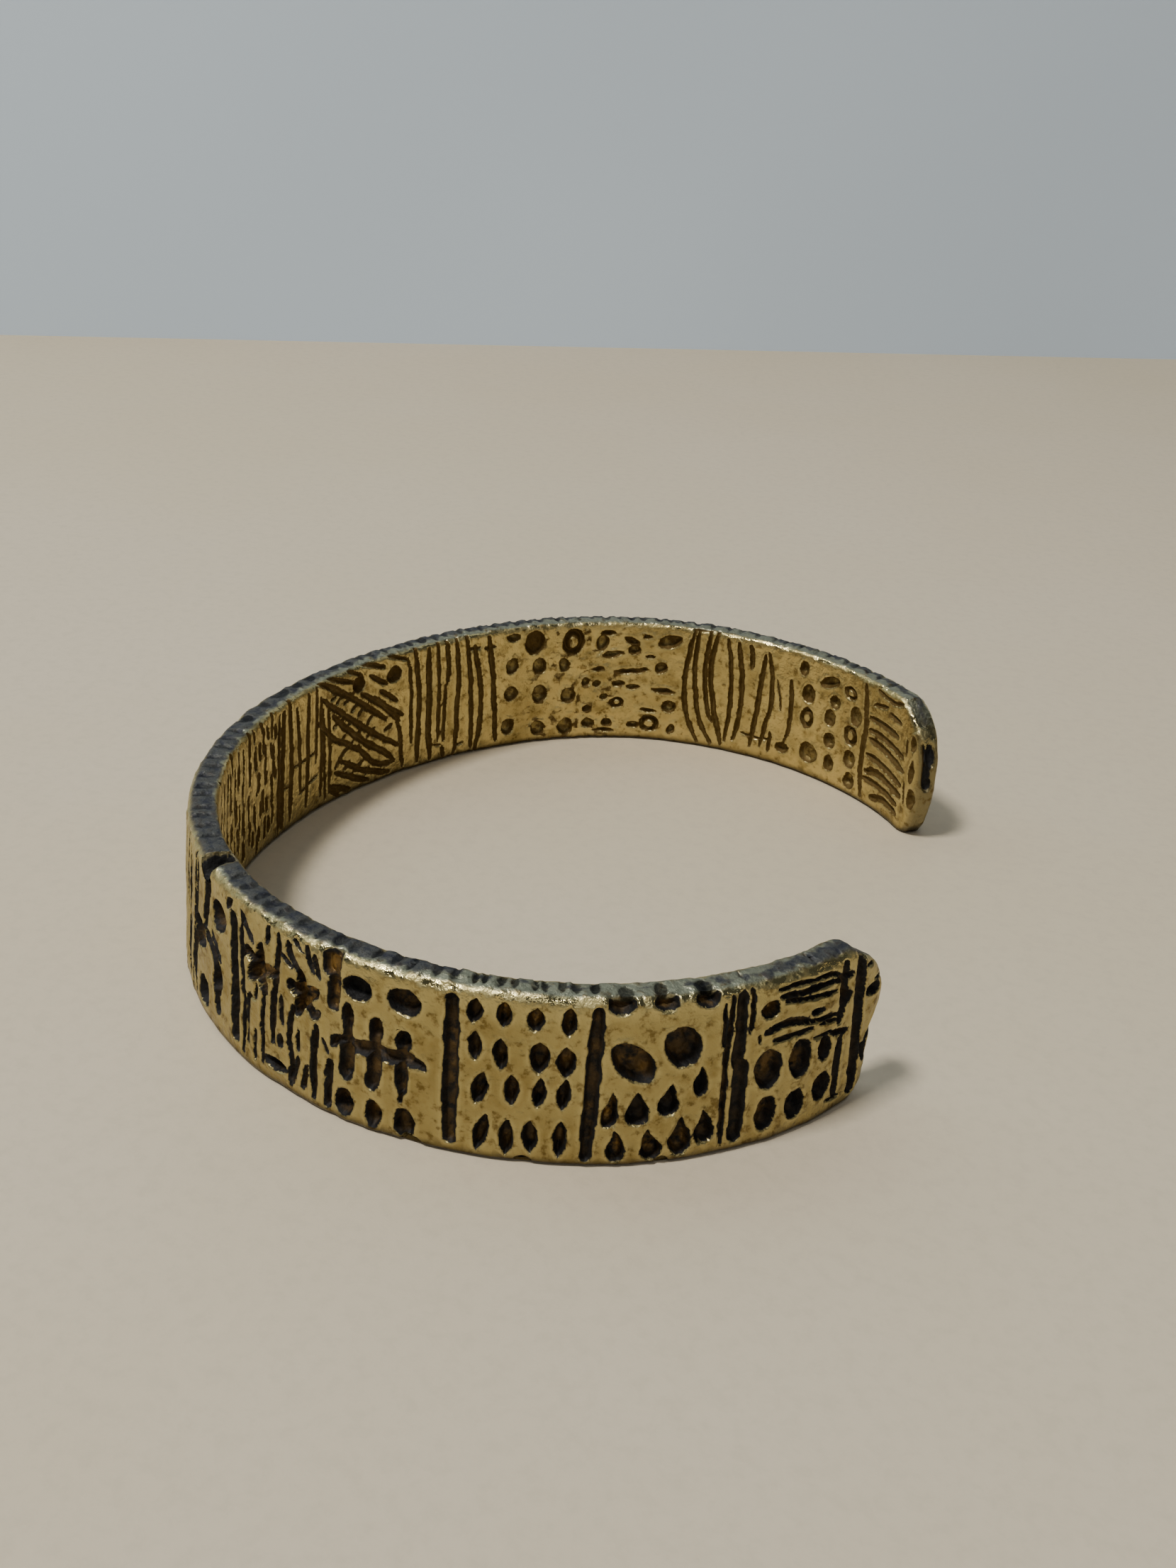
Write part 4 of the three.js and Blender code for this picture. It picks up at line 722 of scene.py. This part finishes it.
def rim_nicks(band, rng):
    """Hammer nicks across the rim: how deep in one each point lies, and how soiled it is."""
    nicks = np.zeros_like(band.along)
    soil = np.zeros_like(band.along)
    for start, end, count, wide, deep, soiled in RIM_NICKS:
        for index in range(count):
            at = start + (end - start) * (index + 0.5 + 0.2 * rng.uniform(-1, 1)) / count
            half = wide * WALL * (1 + 0.3 * rng.uniform(-1, 1)) / 2
            lean = rng.uniform(-0.12, 0.12)
            s = band.along - length_at(at) + lean * (band.inwards - WALL / 2)
            centre = WALL * (deep + 0.05 * rng.uniform(-1, 1))
            r = np.hypot(s / half, (band.inwards - centre) / (WALL * 0.36))
            bite = np.clip(1 - r ** 2, 0, 1)
            nicks = np.maximum(nicks, bite ** 0.7 * rng.uniform(0.6, 1.0))
            soil = np.maximum(soil, smooth(0.05, 0.3, bite) * soiled * rng.uniform(0.85, 1.0))
    return nicks, soil


def end_dents(band):
    """How deep in a dent of the far end's face each point lies, from 0 to 1."""
    dents = np.zeros_like(band.along)
    for up, inwards, long, wide in END_DENTS:
        z = (band.up - height_at(up)) / (height_at(long) / 2)
        x = (band.inwards - inwards * WALL) / (height_at(wide) / 2)
        dents = np.maximum(dents, smooth(0.0, 0.5, 1 - np.hypot(x, z)))
    return dents


def foot_chips(band):
    """How deep in a chip of the outer face's foot each point lies, from 0 to 1."""
    chips = np.zeros_like(band.along)
    for at, wide in EDGE_CHIPS:
        s = (band.along - length_at(at)) / (height_at(wide) / 2)
        chips += smooth(0.0, 0.5, 1 - np.hypot(s, band.up / CHIP_HEIGHT))
    return chips


def rim_tarnish(band):
    """The clouded band of slate tarnish that follows the rim."""
    share = band.along / BAND_LENGTH * 100
    places, shares, middles = zip(*RIM_TARNISH)
    off_middle = np.abs(band.inwards / WALL - np.interp(share, places, middles))
    cloudy = band.rough(band.along / 0.7 + 3, band.inwards / 0.6)
    cloudy += 0.6 * band.rough(band.along / 0.3, band.inwards / 0.4)
    dark = np.interp(share, places, shares) - 1.5 * off_middle + 0.26 * cloudy
    return band.rim * smooth(0.08, 0.32, dark)


def cuff_grid():
    """The worked band: points, normals and what each point needs for its colour."""
    band = Band()
    along, inwards, up = band.along, band.inwards, band.up
    rough, fine = band.rough, band.fine
    rng = np.random.default_rng(5)
    depth, lip, bare, cover, light_halo = worked_faces(band, rng)
    nicks, soil = rim_nicks(band, rng)
    dents = end_dents(band)
    depth += band.rim * RIM_NICK_DEPTH * nicks
    depth += band.far * END_DENT_DEPTH * dents
    depth += band.outer * CHIP_DEPTH * foot_chips(band)

    # The unevenness of a cast surface, coarse to fine
    swell = 0.05 * rough(along / 3.1, up / 2.3 + 7) + 0.028 * rough(along / 1.1, up / 0.9 + 31)
    rim_swell = 0.06 * rough(along / 0.8 + 3, inwards / 0.7)
    rim_swell += 0.045 * rough(along / 0.36, inwards / 0.4)
    swell = swell * (1 - band.rim) + rim_swell * band.rim
    grain = 0.010 * fine(along / 0.30, up / 0.30 + inwards / 0.3)

    # The worn panel, and the beaten edges of the rim and of the far end
    worn = band.inner * smooth(0.0, 2.0, along - WORN_FROM) * smooth(0.0, 2.0, WORN_TO - along)
    swell += worn * 0.07 * fine(along / 0.5, up / 0.5)
    blotch = worn * smooth(0.12, 0.45, fine(along / 0.6 + 5, up / 0.32))
    slope = smooth(0.3, 0.6, band.upness) * smooth(0.15, 0.45, np.abs(band.outness))
    bevel = slope * smooth(0.95, 0.7, band.upness)
    swell += bevel * 0.06 * rough(along / 0.75 + 9, up / 0.9)
    high = up / BAND_HEIGHT
    crown = band.far * smooth(0.7, 0.76, high) * smooth(0.97, 0.9, high)
    swell += crown * 0.05 * fine(along / 0.35 + up / 0.3, inwards / 0.35)

    move = lip * LIP_HEIGHT - depth + swell + grain
    points = band.points + band.normal * move[..., None]
    points[..., 2] = np.clip(points[..., 2], 0.0, BAND_HEIGHT + 0.04)
    points[..., :2] -= band.middle
    shade = grid_normals(points)
    shade *= np.sign((shade * band.normal).sum(axis=-1, keepdims=True) + 1e-9)

    sunk = np.maximum(cover, band.far * smooth(0.1, 0.5, dents))
    sunk = np.maximum(sunk, smooth(0.05, 0.3, band.cut))
    sunk = np.maximum(sunk, 0.6 * blotch)
    # Masks for the colour: the halo round each mark, the lips, the top of the outer face and the rounded
    # edges carry painted highlight; the rim carries painted reflection with its own grey; the foot carries
    # a painted contact shadow; the inner face a paler brass as painted light; and the end faces a darker
    # greyer tone.
    values = {
        "recess": sunk,
        "bare": np.clip(bare, 0, 1),
        "rim": band.rim * (1 - smooth(0.25, 0.6, np.abs(band.outness))),
        "tarnish": rim_tarnish(band),
        "soil": band.rim * soil,
        "bevel": np.clip(np.maximum(bevel, crown), 0, 1),
        "lip": np.clip(lip, 0, 1) * (1 - sunk),
        "light_halo": np.clip(light_halo, 0, 1) * (1 - sunk),
        "inner": band.inner,
        "shoulder_highlight": band.outer * smooth(0.78, 0.95, high),
        "end": smooth(0.2, 0.6, np.abs(band.ahead)) * (1 - band.rim),
        "foot": smooth(0.6, 0.1, up) * (1 - band.rim),
    }

    # A decoy with its stains raised and the painted light halo round each mark lowered, so that thinning
    # keeps the points that they need
    lure = 0.25 * values["soil"] + 0.12 * values["tarnish"] - 0.06 * values["light_halo"]
    decoy = points + shade * lure[..., None]
    return points, decoy, shade, values


def grid_faces(rows, columns):
    index = np.arange(rows * columns).reshape(rows, columns)
    right = np.roll(index, -1, axis=1)
    return np.stack([index[:-1], right[:-1], right[1:], index[1:]], axis=-1).reshape(-1, 4)


def mesh_from(name, points, faces):
    mesh = bpy.data.meshes.new(name)
    mesh.vertices.add(len(points))
    mesh.vertices.foreach_set("co", points.astype(np.float32).ravel())
    mesh.loops.add(faces.size)
    mesh.loops.foreach_set("vertex_index", faces.astype(np.int32).ravel())
    mesh.polygons.add(len(faces))
    mesh.polygons.foreach_set("loop_start", np.arange(0, faces.size, faces.shape[1], dtype=np.int32))
    mesh.update(calc_edges=True)
    mesh.validate()
    return mesh


def add_object(name, data):
    thing = bpy.data.objects.new(name, data)
    bpy.context.scene.collection.objects.link(thing)
    return thing


def build_cuff():
    """The worked band, thinned where neither its relief nor its colour needs the points."""
    grid, decoy, shade, values = cuff_grid()
    points = grid.reshape(-1, 3) * MILLIMETRE
    decoy = decoy.reshape(-1, 3) * MILLIMETRE
    shade = shade.reshape(-1, 3)
    faces = grid_faces(*grid.shape[:2])
    dense = mesh_from("cuff_dense", decoy, faces)
    whole = add_object("cuff_dense", dense)
    thin = whole.modifiers.new("thin", "DECIMATE")
    thin.ratio = MESH_TRIANGLES / (2 * len(faces))
    graph = bpy.context.evaluated_depsgraph_get()
    mesh = bpy.data.meshes.new_from_object(whole.evaluated_get(graph))
    mesh.name = "cuff_worked"
    bpy.data.objects.remove(whole)
    bpy.data.meshes.remove(dense)

    # Each point kept goes back to its true place, with its own masks and normal
    tree = KDTree(len(decoy))
    for index, point in enumerate(decoy):
        tree.insert(point, index)
    tree.balance()
    nearest = np.array([tree.find(vertex.co)[1] for vertex in mesh.vertices])
    mesh.vertices.foreach_set("co", points[nearest].astype(np.float32).ravel())
    mesh.update()
    for name, field in values.items():
        layer = mesh.attributes.new(name, "FLOAT", "POINT")
        layer.data.foreach_set("value", field.ravel()[nearest].astype(np.float32))
    mesh.polygons.foreach_set("use_smooth", np.ones(len(mesh.polygons), dtype=bool))
    mesh.normals_split_custom_set_from_vertices(shade[nearest].tolist())
    return add_object("cuff_worked", mesh)


class Nodes:
    """A short way to build a node material."""

    def __init__(self, name):
        self.material = bpy.data.materials.new(name)
        self.material.use_nodes = True
        self.tree = self.material.node_tree
        self.tree.nodes.clear()
        self.shader = self.add("BsdfPrincipled")
        self.add("OutputMaterial", {"Surface": self.shader.outputs["BSDF"]})

    def add(self, kind, inputs=None, **settings):
        """A node with its settings, and each input fed from a socket or held at a value."""
        node = self.tree.nodes.new("ShaderNode" + kind)
        for key, value in settings.items():
            setattr(node, key, value)
        for key, value in (inputs or {}).items():
            self.feed(node, key, value)
        return node

    def feed(self, node, key, value):
        if isinstance(value, bpy.types.NodeSocket):
            self.tree.links.new(value, node.inputs[key])
        else:
            node.inputs[key].default_value = value

    def surface(self, key, value):
        self.feed(self.shader, key, value)

    def value(self, name):
        return self.add("Attribute", attribute_name=name).outputs["Fac"]

    def noise(self, scale, detail, rough):
        place = self.add("TexCoord").outputs["Object"]
        inputs = {"Vector": place, "Scale": scale, "Detail": detail, "Roughness": rough}
        return self.add("TexNoise", inputs).outputs["Fac"]

    def span(self, value, low, high, to_low=0.0, to_high=1.0):
        inputs = {"Value": value, "From Min": low, "From Max": high, "To Min": to_low, "To Max": to_high}
        return self.add("MapRange", inputs, interpolation_type="SMOOTHSTEP").outputs["Result"]

    def math(self, kind, first, second):
        return self.add("Math", {0: first, 1: second}, operation=kind, use_clamp=True).outputs["Value"]

    def mix(self, share, first, second):
        return self.add("Mix", {0: share, 6: first, 7: second}, data_type="RGBA").outputs[2]

    def glaze(self, tone, mask, share, colour):
        """The tone with a share of a colour laid over it where the mask is."""
        return self.mix(self.math("MULTIPLY", mask, share), tone, colour)

    def blend(self, share, first, second):
        return self.add("Mix", {0: share, 2: first, 3: second}, data_type="FLOAT").outputs[0]

    def bump(self, height, distance, strength, before=None):
        inputs = {"Height": height, "Distance": distance, "Strength": strength}
        if before:
            inputs["Normal"] = before
        return self.add("Bump", inputs).outputs["Normal"]


def tint(red, green, blue):
    """A colour given in screen values, as the linear values that sockets take."""
    return tuple(
        (c / 255 / 12.92 if c < 10.3 else ((c / 255 + 0.055) / 1.055) ** 2.4)
        for c in (red, green, blue)
    ) + (1.0,)


BRASS = tint(176, 161, 108)
BRASS_DEEP = tint(148, 130, 78)
BRASS_WITHIN_PAINTED_LIGHT = tint(212, 192, 130)
BRASS_PAINTED_HIGHLIGHT = tint(206, 192, 136)
RIM_GREY_AND_REFLECTION = tint(148, 147, 124)
TARNISH = tint(36, 38, 52)
PATINA = tint(8, 6, 5)
PATINA_BROWN = tint(96, 73, 26)
FOOT_PAINTED_SHADOW = tint(40, 28, 14)
NICK_BLACK = tint(10, 10, 12)
FLOOR_BRASS = tint(150, 116, 60)
END_FACE_GREY = tint(126, 117, 88)
STONE = tint(206, 191, 162)
STONE_PALE = tint(208, 194, 168)
STONE_GRIT = tint(190, 177, 152)
WALL_PAINT = tint(218, 234, 250)
WALL_SHADE = tint(210, 226, 242)


def brass_material():
    m = Nodes("aged_brass")
    recess, bare, rim, tarnish, soil, bevel, lip, light_halo, inner, shoulder_highlight, end, foot = (
        m.value(name) for name in (
            "recess", "bare", "rim", "tarnish", "soil", "bevel",
            "lip", "light_halo", "inner", "shoulder_highlight", "end", "foot",
        )
    )
    cloud = m.noise(160.0, 4.0, 0.6)
    patch = m.noise(620.0, 3.0, 0.6)
    speck = m.noise(1500.0, 3.0, 0.6)
    fine = m.noise(4200.0, 2.0, 0.5)

    # The bare metal, then painted highlights, a darker greyer tone on the end faces and painted reflection
    # on the rim, then what soils it, with a painted contact shadow along the foot
    # The inner face takes a paler brass than the outer: painted light on the same metal.
    tone = m.mix(inner, BRASS, BRASS_WITHIN_PAINTED_LIGHT)
    tone = m.mix(m.span(cloud, 0.38, 0.68, 0.0, 0.7), tone, BRASS_DEEP)
    tone = m.mix(m.span(patch, 0.5, 0.7, 0.0, 0.8), tone, BRASS_DEEP)
    # Pale brass in a halo round each mark: a painted light halo.
    tone = m.glaze(tone, light_halo, 0.28, BRASS_PAINTED_HIGHLIGHT)
    # Pale brass on each mark's raised lip: painted highlight.
    tone = m.glaze(tone, lip, 0.3, BRASS_PAINTED_HIGHLIGHT)
    # Pale brass along the top of the outer face, below the rim: painted highlight.
    tone = m.glaze(tone, shoulder_highlight, m.span(cloud, 0.35, 0.65, 0.15, 0.75), BRASS_PAINTED_HIGHLIGHT)
    # The faces turned along the band, mostly the ends, are made darker and greyer.
    tone = m.glaze(tone, end, 0.8, END_FACE_GREY)
    # Pale brass on the rounded edges of the rim and on the far end's crown: painted highlight.
    tone = m.glaze(tone, bevel, 0.3, BRASS_PAINTED_HIGHLIGHT)
    # The up-facing rim takes a pale grey: partly its own worn metal, partly painted reflection of the room
    # above.
    tone = m.mix(rim, tone, RIM_GREY_AND_REFLECTION)
    dirt = m.math("MULTIPLY", m.span(speck, 0.52, 0.7), 0.7)
    tone = m.glaze(tone, dirt, m.math("SUBTRACT", 1.0, bevel), PATINA_BROWN)
    # Dark brown along the foot of the band: painted contact shadow.
    tone = m.glaze(tone, foot, 0.85, FOOT_PAINTED_SHADOW)
    slate = m.math("MULTIPLY", tarnish, m.span(speck, 0.3, 0.62, 0.95, 0.75))
    tone = m.mix(slate, tone, TARNISH)
    black = m.math("MULTIPLY", soil, m.span(speck, 0.3, 0.6, 1.0, 0.85))
    tone = m.mix(black, tone, NICK_BLACK)

    # The patina in the pits and strokes, with brass showing on some floors
    stain = m.mix(m.math("MULTIPLY", inner, 0.9), PATINA, PATINA_BROWN)
    floor = m.math("MULTIPLY", bare, m.span(speck, 0.34, 0.58))
    dark = m.mix(floor, stain, m.mix(inner, FLOOR_BRASS, BRASS_DEEP))
    edge = m.span(m.math("ADD", recess, m.span(speck, 0.3, 0.7, -0.12, 0.12)), 0.3, 0.7)
    m.surface("Base Color", m.mix(edge, tone, dark))

    dull = m.math("MAXIMUM", slate, black)
    bright = m.span(slate, 0.0, 1.0, 1.0, 0.75)
    sunk = m.blend(m.math("MAXIMUM", floor, m.math("MULTIPLY", inner, 0.5)), 0.25, 0.9)
    m.surface("Metallic", m.blend(edge, bright, sunk))
    worn = m.blend(bevel, m.span(speck, 0.3, 0.7, 0.34, 0.48), m.span(patch, 0.44, 0.56, 0.1, 0.5))
    worn = m.blend(dull, worn, 0.62)
    m.surface("Roughness", m.blend(edge, worn, m.span(floor, 0.0, 1.0, 0.7, 0.42)))

    normal = m.bump(cloud, 0.0004, 0.25)
    normal = m.bump(patch, 0.00018, 0.45, normal)
    normal = m.bump(speck, 0.00024, 0.7, normal)
    normal = m.bump(fine, 0.00004, 0.4, normal)
    m.surface("Normal", normal)
    return m.material


def stone_material():
    m = Nodes("pale_stone")
    cloud = m.noise(14.0, 4.0, 0.6)
    speck = m.noise(900.0, 3.0, 0.65)
    colour = m.mix(m.span(cloud, 0.3, 0.7), STONE, STONE_PALE)
    colour = m.mix(m.span(speck, 0.4, 0.75, 0.0, 0.35), colour, STONE_GRIT)
    m.surface("Base Color", colour)
    m.surface("Roughness", 0.7)
    m.surface("Normal", m.bump(speck, 0.0001, 0.3))
    return m.material


def paint_material():
    m = Nodes("pale_wall")
    cloud = m.noise(6.0, 2.0, 0.5)
    m.surface("Base Color", m.mix(m.span(cloud, 0.3, 0.7), WALL_PAINT, WALL_SHADE))
    m.surface("Roughness", 0.85)
    return m.material


# The camera, in millimetres from the middle of the oval before it is turned, and in pixels
CAMERA_PLACE = (-1.11, -101.62, 61.59)
CAMERA_PITCH = 27.17
CAMERA_ROLL = 4.22
CAMERA_FOCAL = 2237.0
SENSOR_WIDTH = 36.0
PHOTO_HEIGHT = 2212.0
PHOTO_WIDTH = 1659.0
TURN = 10.9

# Where the floor's far edge runs in the picture, in pixels
EDGE_LEFT = (20, 472)
EDGE_RIGHT = (1640, 506)

# The stage, in metres
FLOOR_REACH = 2.0
FLOOR_DEEP = 2.6
FLOOR_GAP = 0.0001
WALL_HEIGHT = 1.5
LAMP_WHITE = (1.0, 0.98, 0.95)
ROOM_BLUE = (0.80, 0.86, 0.93, 1.0)
ROOM_POWER = 0.10

# Soft boxes: (name, across, deep, place, power), in metres in the camera's frame, and watts
LIGHTS = [
    ("key", 0.14, 0.14, (-0.31, -0.19, 0.74), 5.6),
    ("glint", 0.12, 0.09, (0.03, -0.42, 0.84), 0.5),
    ("front", 0.80, 0.30, (0.10, -0.95, 0.55), 1.2),
]

MIDDLE = box_middle(place_points(*base_grid()))
SPIN = Matrix.Rotation(math.radians(TURN), 3, "Z")


def to_part(point):
    """From the camera's frame to the part's, in metres."""
    return (SPIN @ Vector(point) - Vector((MIDDLE[0], MIDDLE[1], 0.0))) * MILLIMETRE


def camera_axes():
    pitch = math.radians(CAMERA_PITCH)
    roll = math.radians(CAMERA_ROLL)
    right = Vector((1.0, 0.0, 0.0))
    upward = Vector((0.0, math.sin(pitch), math.cos(pitch)))
    forward = Vector((0.0, math.cos(pitch), -math.sin(pitch)))
    across = math.cos(roll) * right + math.sin(roll) * upward
    top = math.cos(roll) * upward - math.sin(roll) * right
    return SPIN @ across, SPIN @ top, SPIN @ forward


def make_camera():
    data = bpy.data.cameras.new("camera")
    data.sensor_width = SENSOR_WIDTH
    data.lens = SENSOR_WIDTH * CAMERA_FOCAL / PHOTO_HEIGHT
    data.clip_start = 0.005
    data.clip_end = 20.0
    camera = add_object("camera", data)
    across, top, forward = camera_axes()
    camera.matrix_world = Matrix((across, top, -forward)).transposed().to_4x4()
    camera.location = to_part(CAMERA_PLACE)
    bpy.context.scene.camera = camera


def floor_point(x, y):
    """Where a point of the picture meets the floor."""
    across, top, forward = camera_axes()
    ray = forward * CAMERA_FOCAL
    ray = ray + across * (x - PHOTO_WIDTH / 2) - top * (y - PHOTO_HEIGHT / 2)
    place = to_part(CAMERA_PLACE)
    return place - ray * (place.z / ray.z)


def plain_sheet(name, corners, material):
    mesh = bpy.data.meshes.new(name)
    mesh.from_pydata([tuple(c) for c in corners], [], [(0, 1, 2, 3)])
    mesh.materials.append(material)
    return add_object(name, mesh)


def make_stage():
    left = floor_point(*EDGE_LEFT)
    right = floor_point(*EDGE_RIGHT)
    line = (right - left).normalized()
    back = Vector((-line.y, line.x, 0.0))
    middle = (left + right) / 2 - Vector((0, 0, FLOOR_GAP))
    start = middle - line * FLOOR_REACH
    end = middle + line * FLOOR_REACH
    front = back * FLOOR_DEEP
    height = Vector((0, 0, WALL_HEIGHT))
    floor = plain_sheet("floor", [start - front, end - front, end, start], stone_material())
    wall = plain_sheet("backdrop", [start, end, end + height, start + height], paint_material())


def make_lights():
    for name, across, deep, place, power in LIGHTS:
        data = bpy.data.lights.new(name, "AREA")
        data.shape = "RECTANGLE"
        data.size = across
        data.size_y = deep
        data.energy = power
        data.color = LAMP_WHITE
        light = add_object(name, data)
        light.location = SPIN @ Vector(place)
        light.rotation_euler = (-light.location).to_track_quat("-Z", "Y").to_euler()
    world = bpy.data.worlds.new("room")
    world.use_nodes = True
    background = world.node_tree.nodes["Background"]
    background.inputs["Color"].default_value = ROOM_BLUE
    background.inputs["Strength"].default_value = ROOM_POWER
    bpy.context.scene.world = world


make_camera()
make_stage()
make_lights()

cuff = build_cuff()
cuff.data.materials.clear()
cuff.data.materials.append(brass_material())
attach(cuff, "root")
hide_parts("cuff")
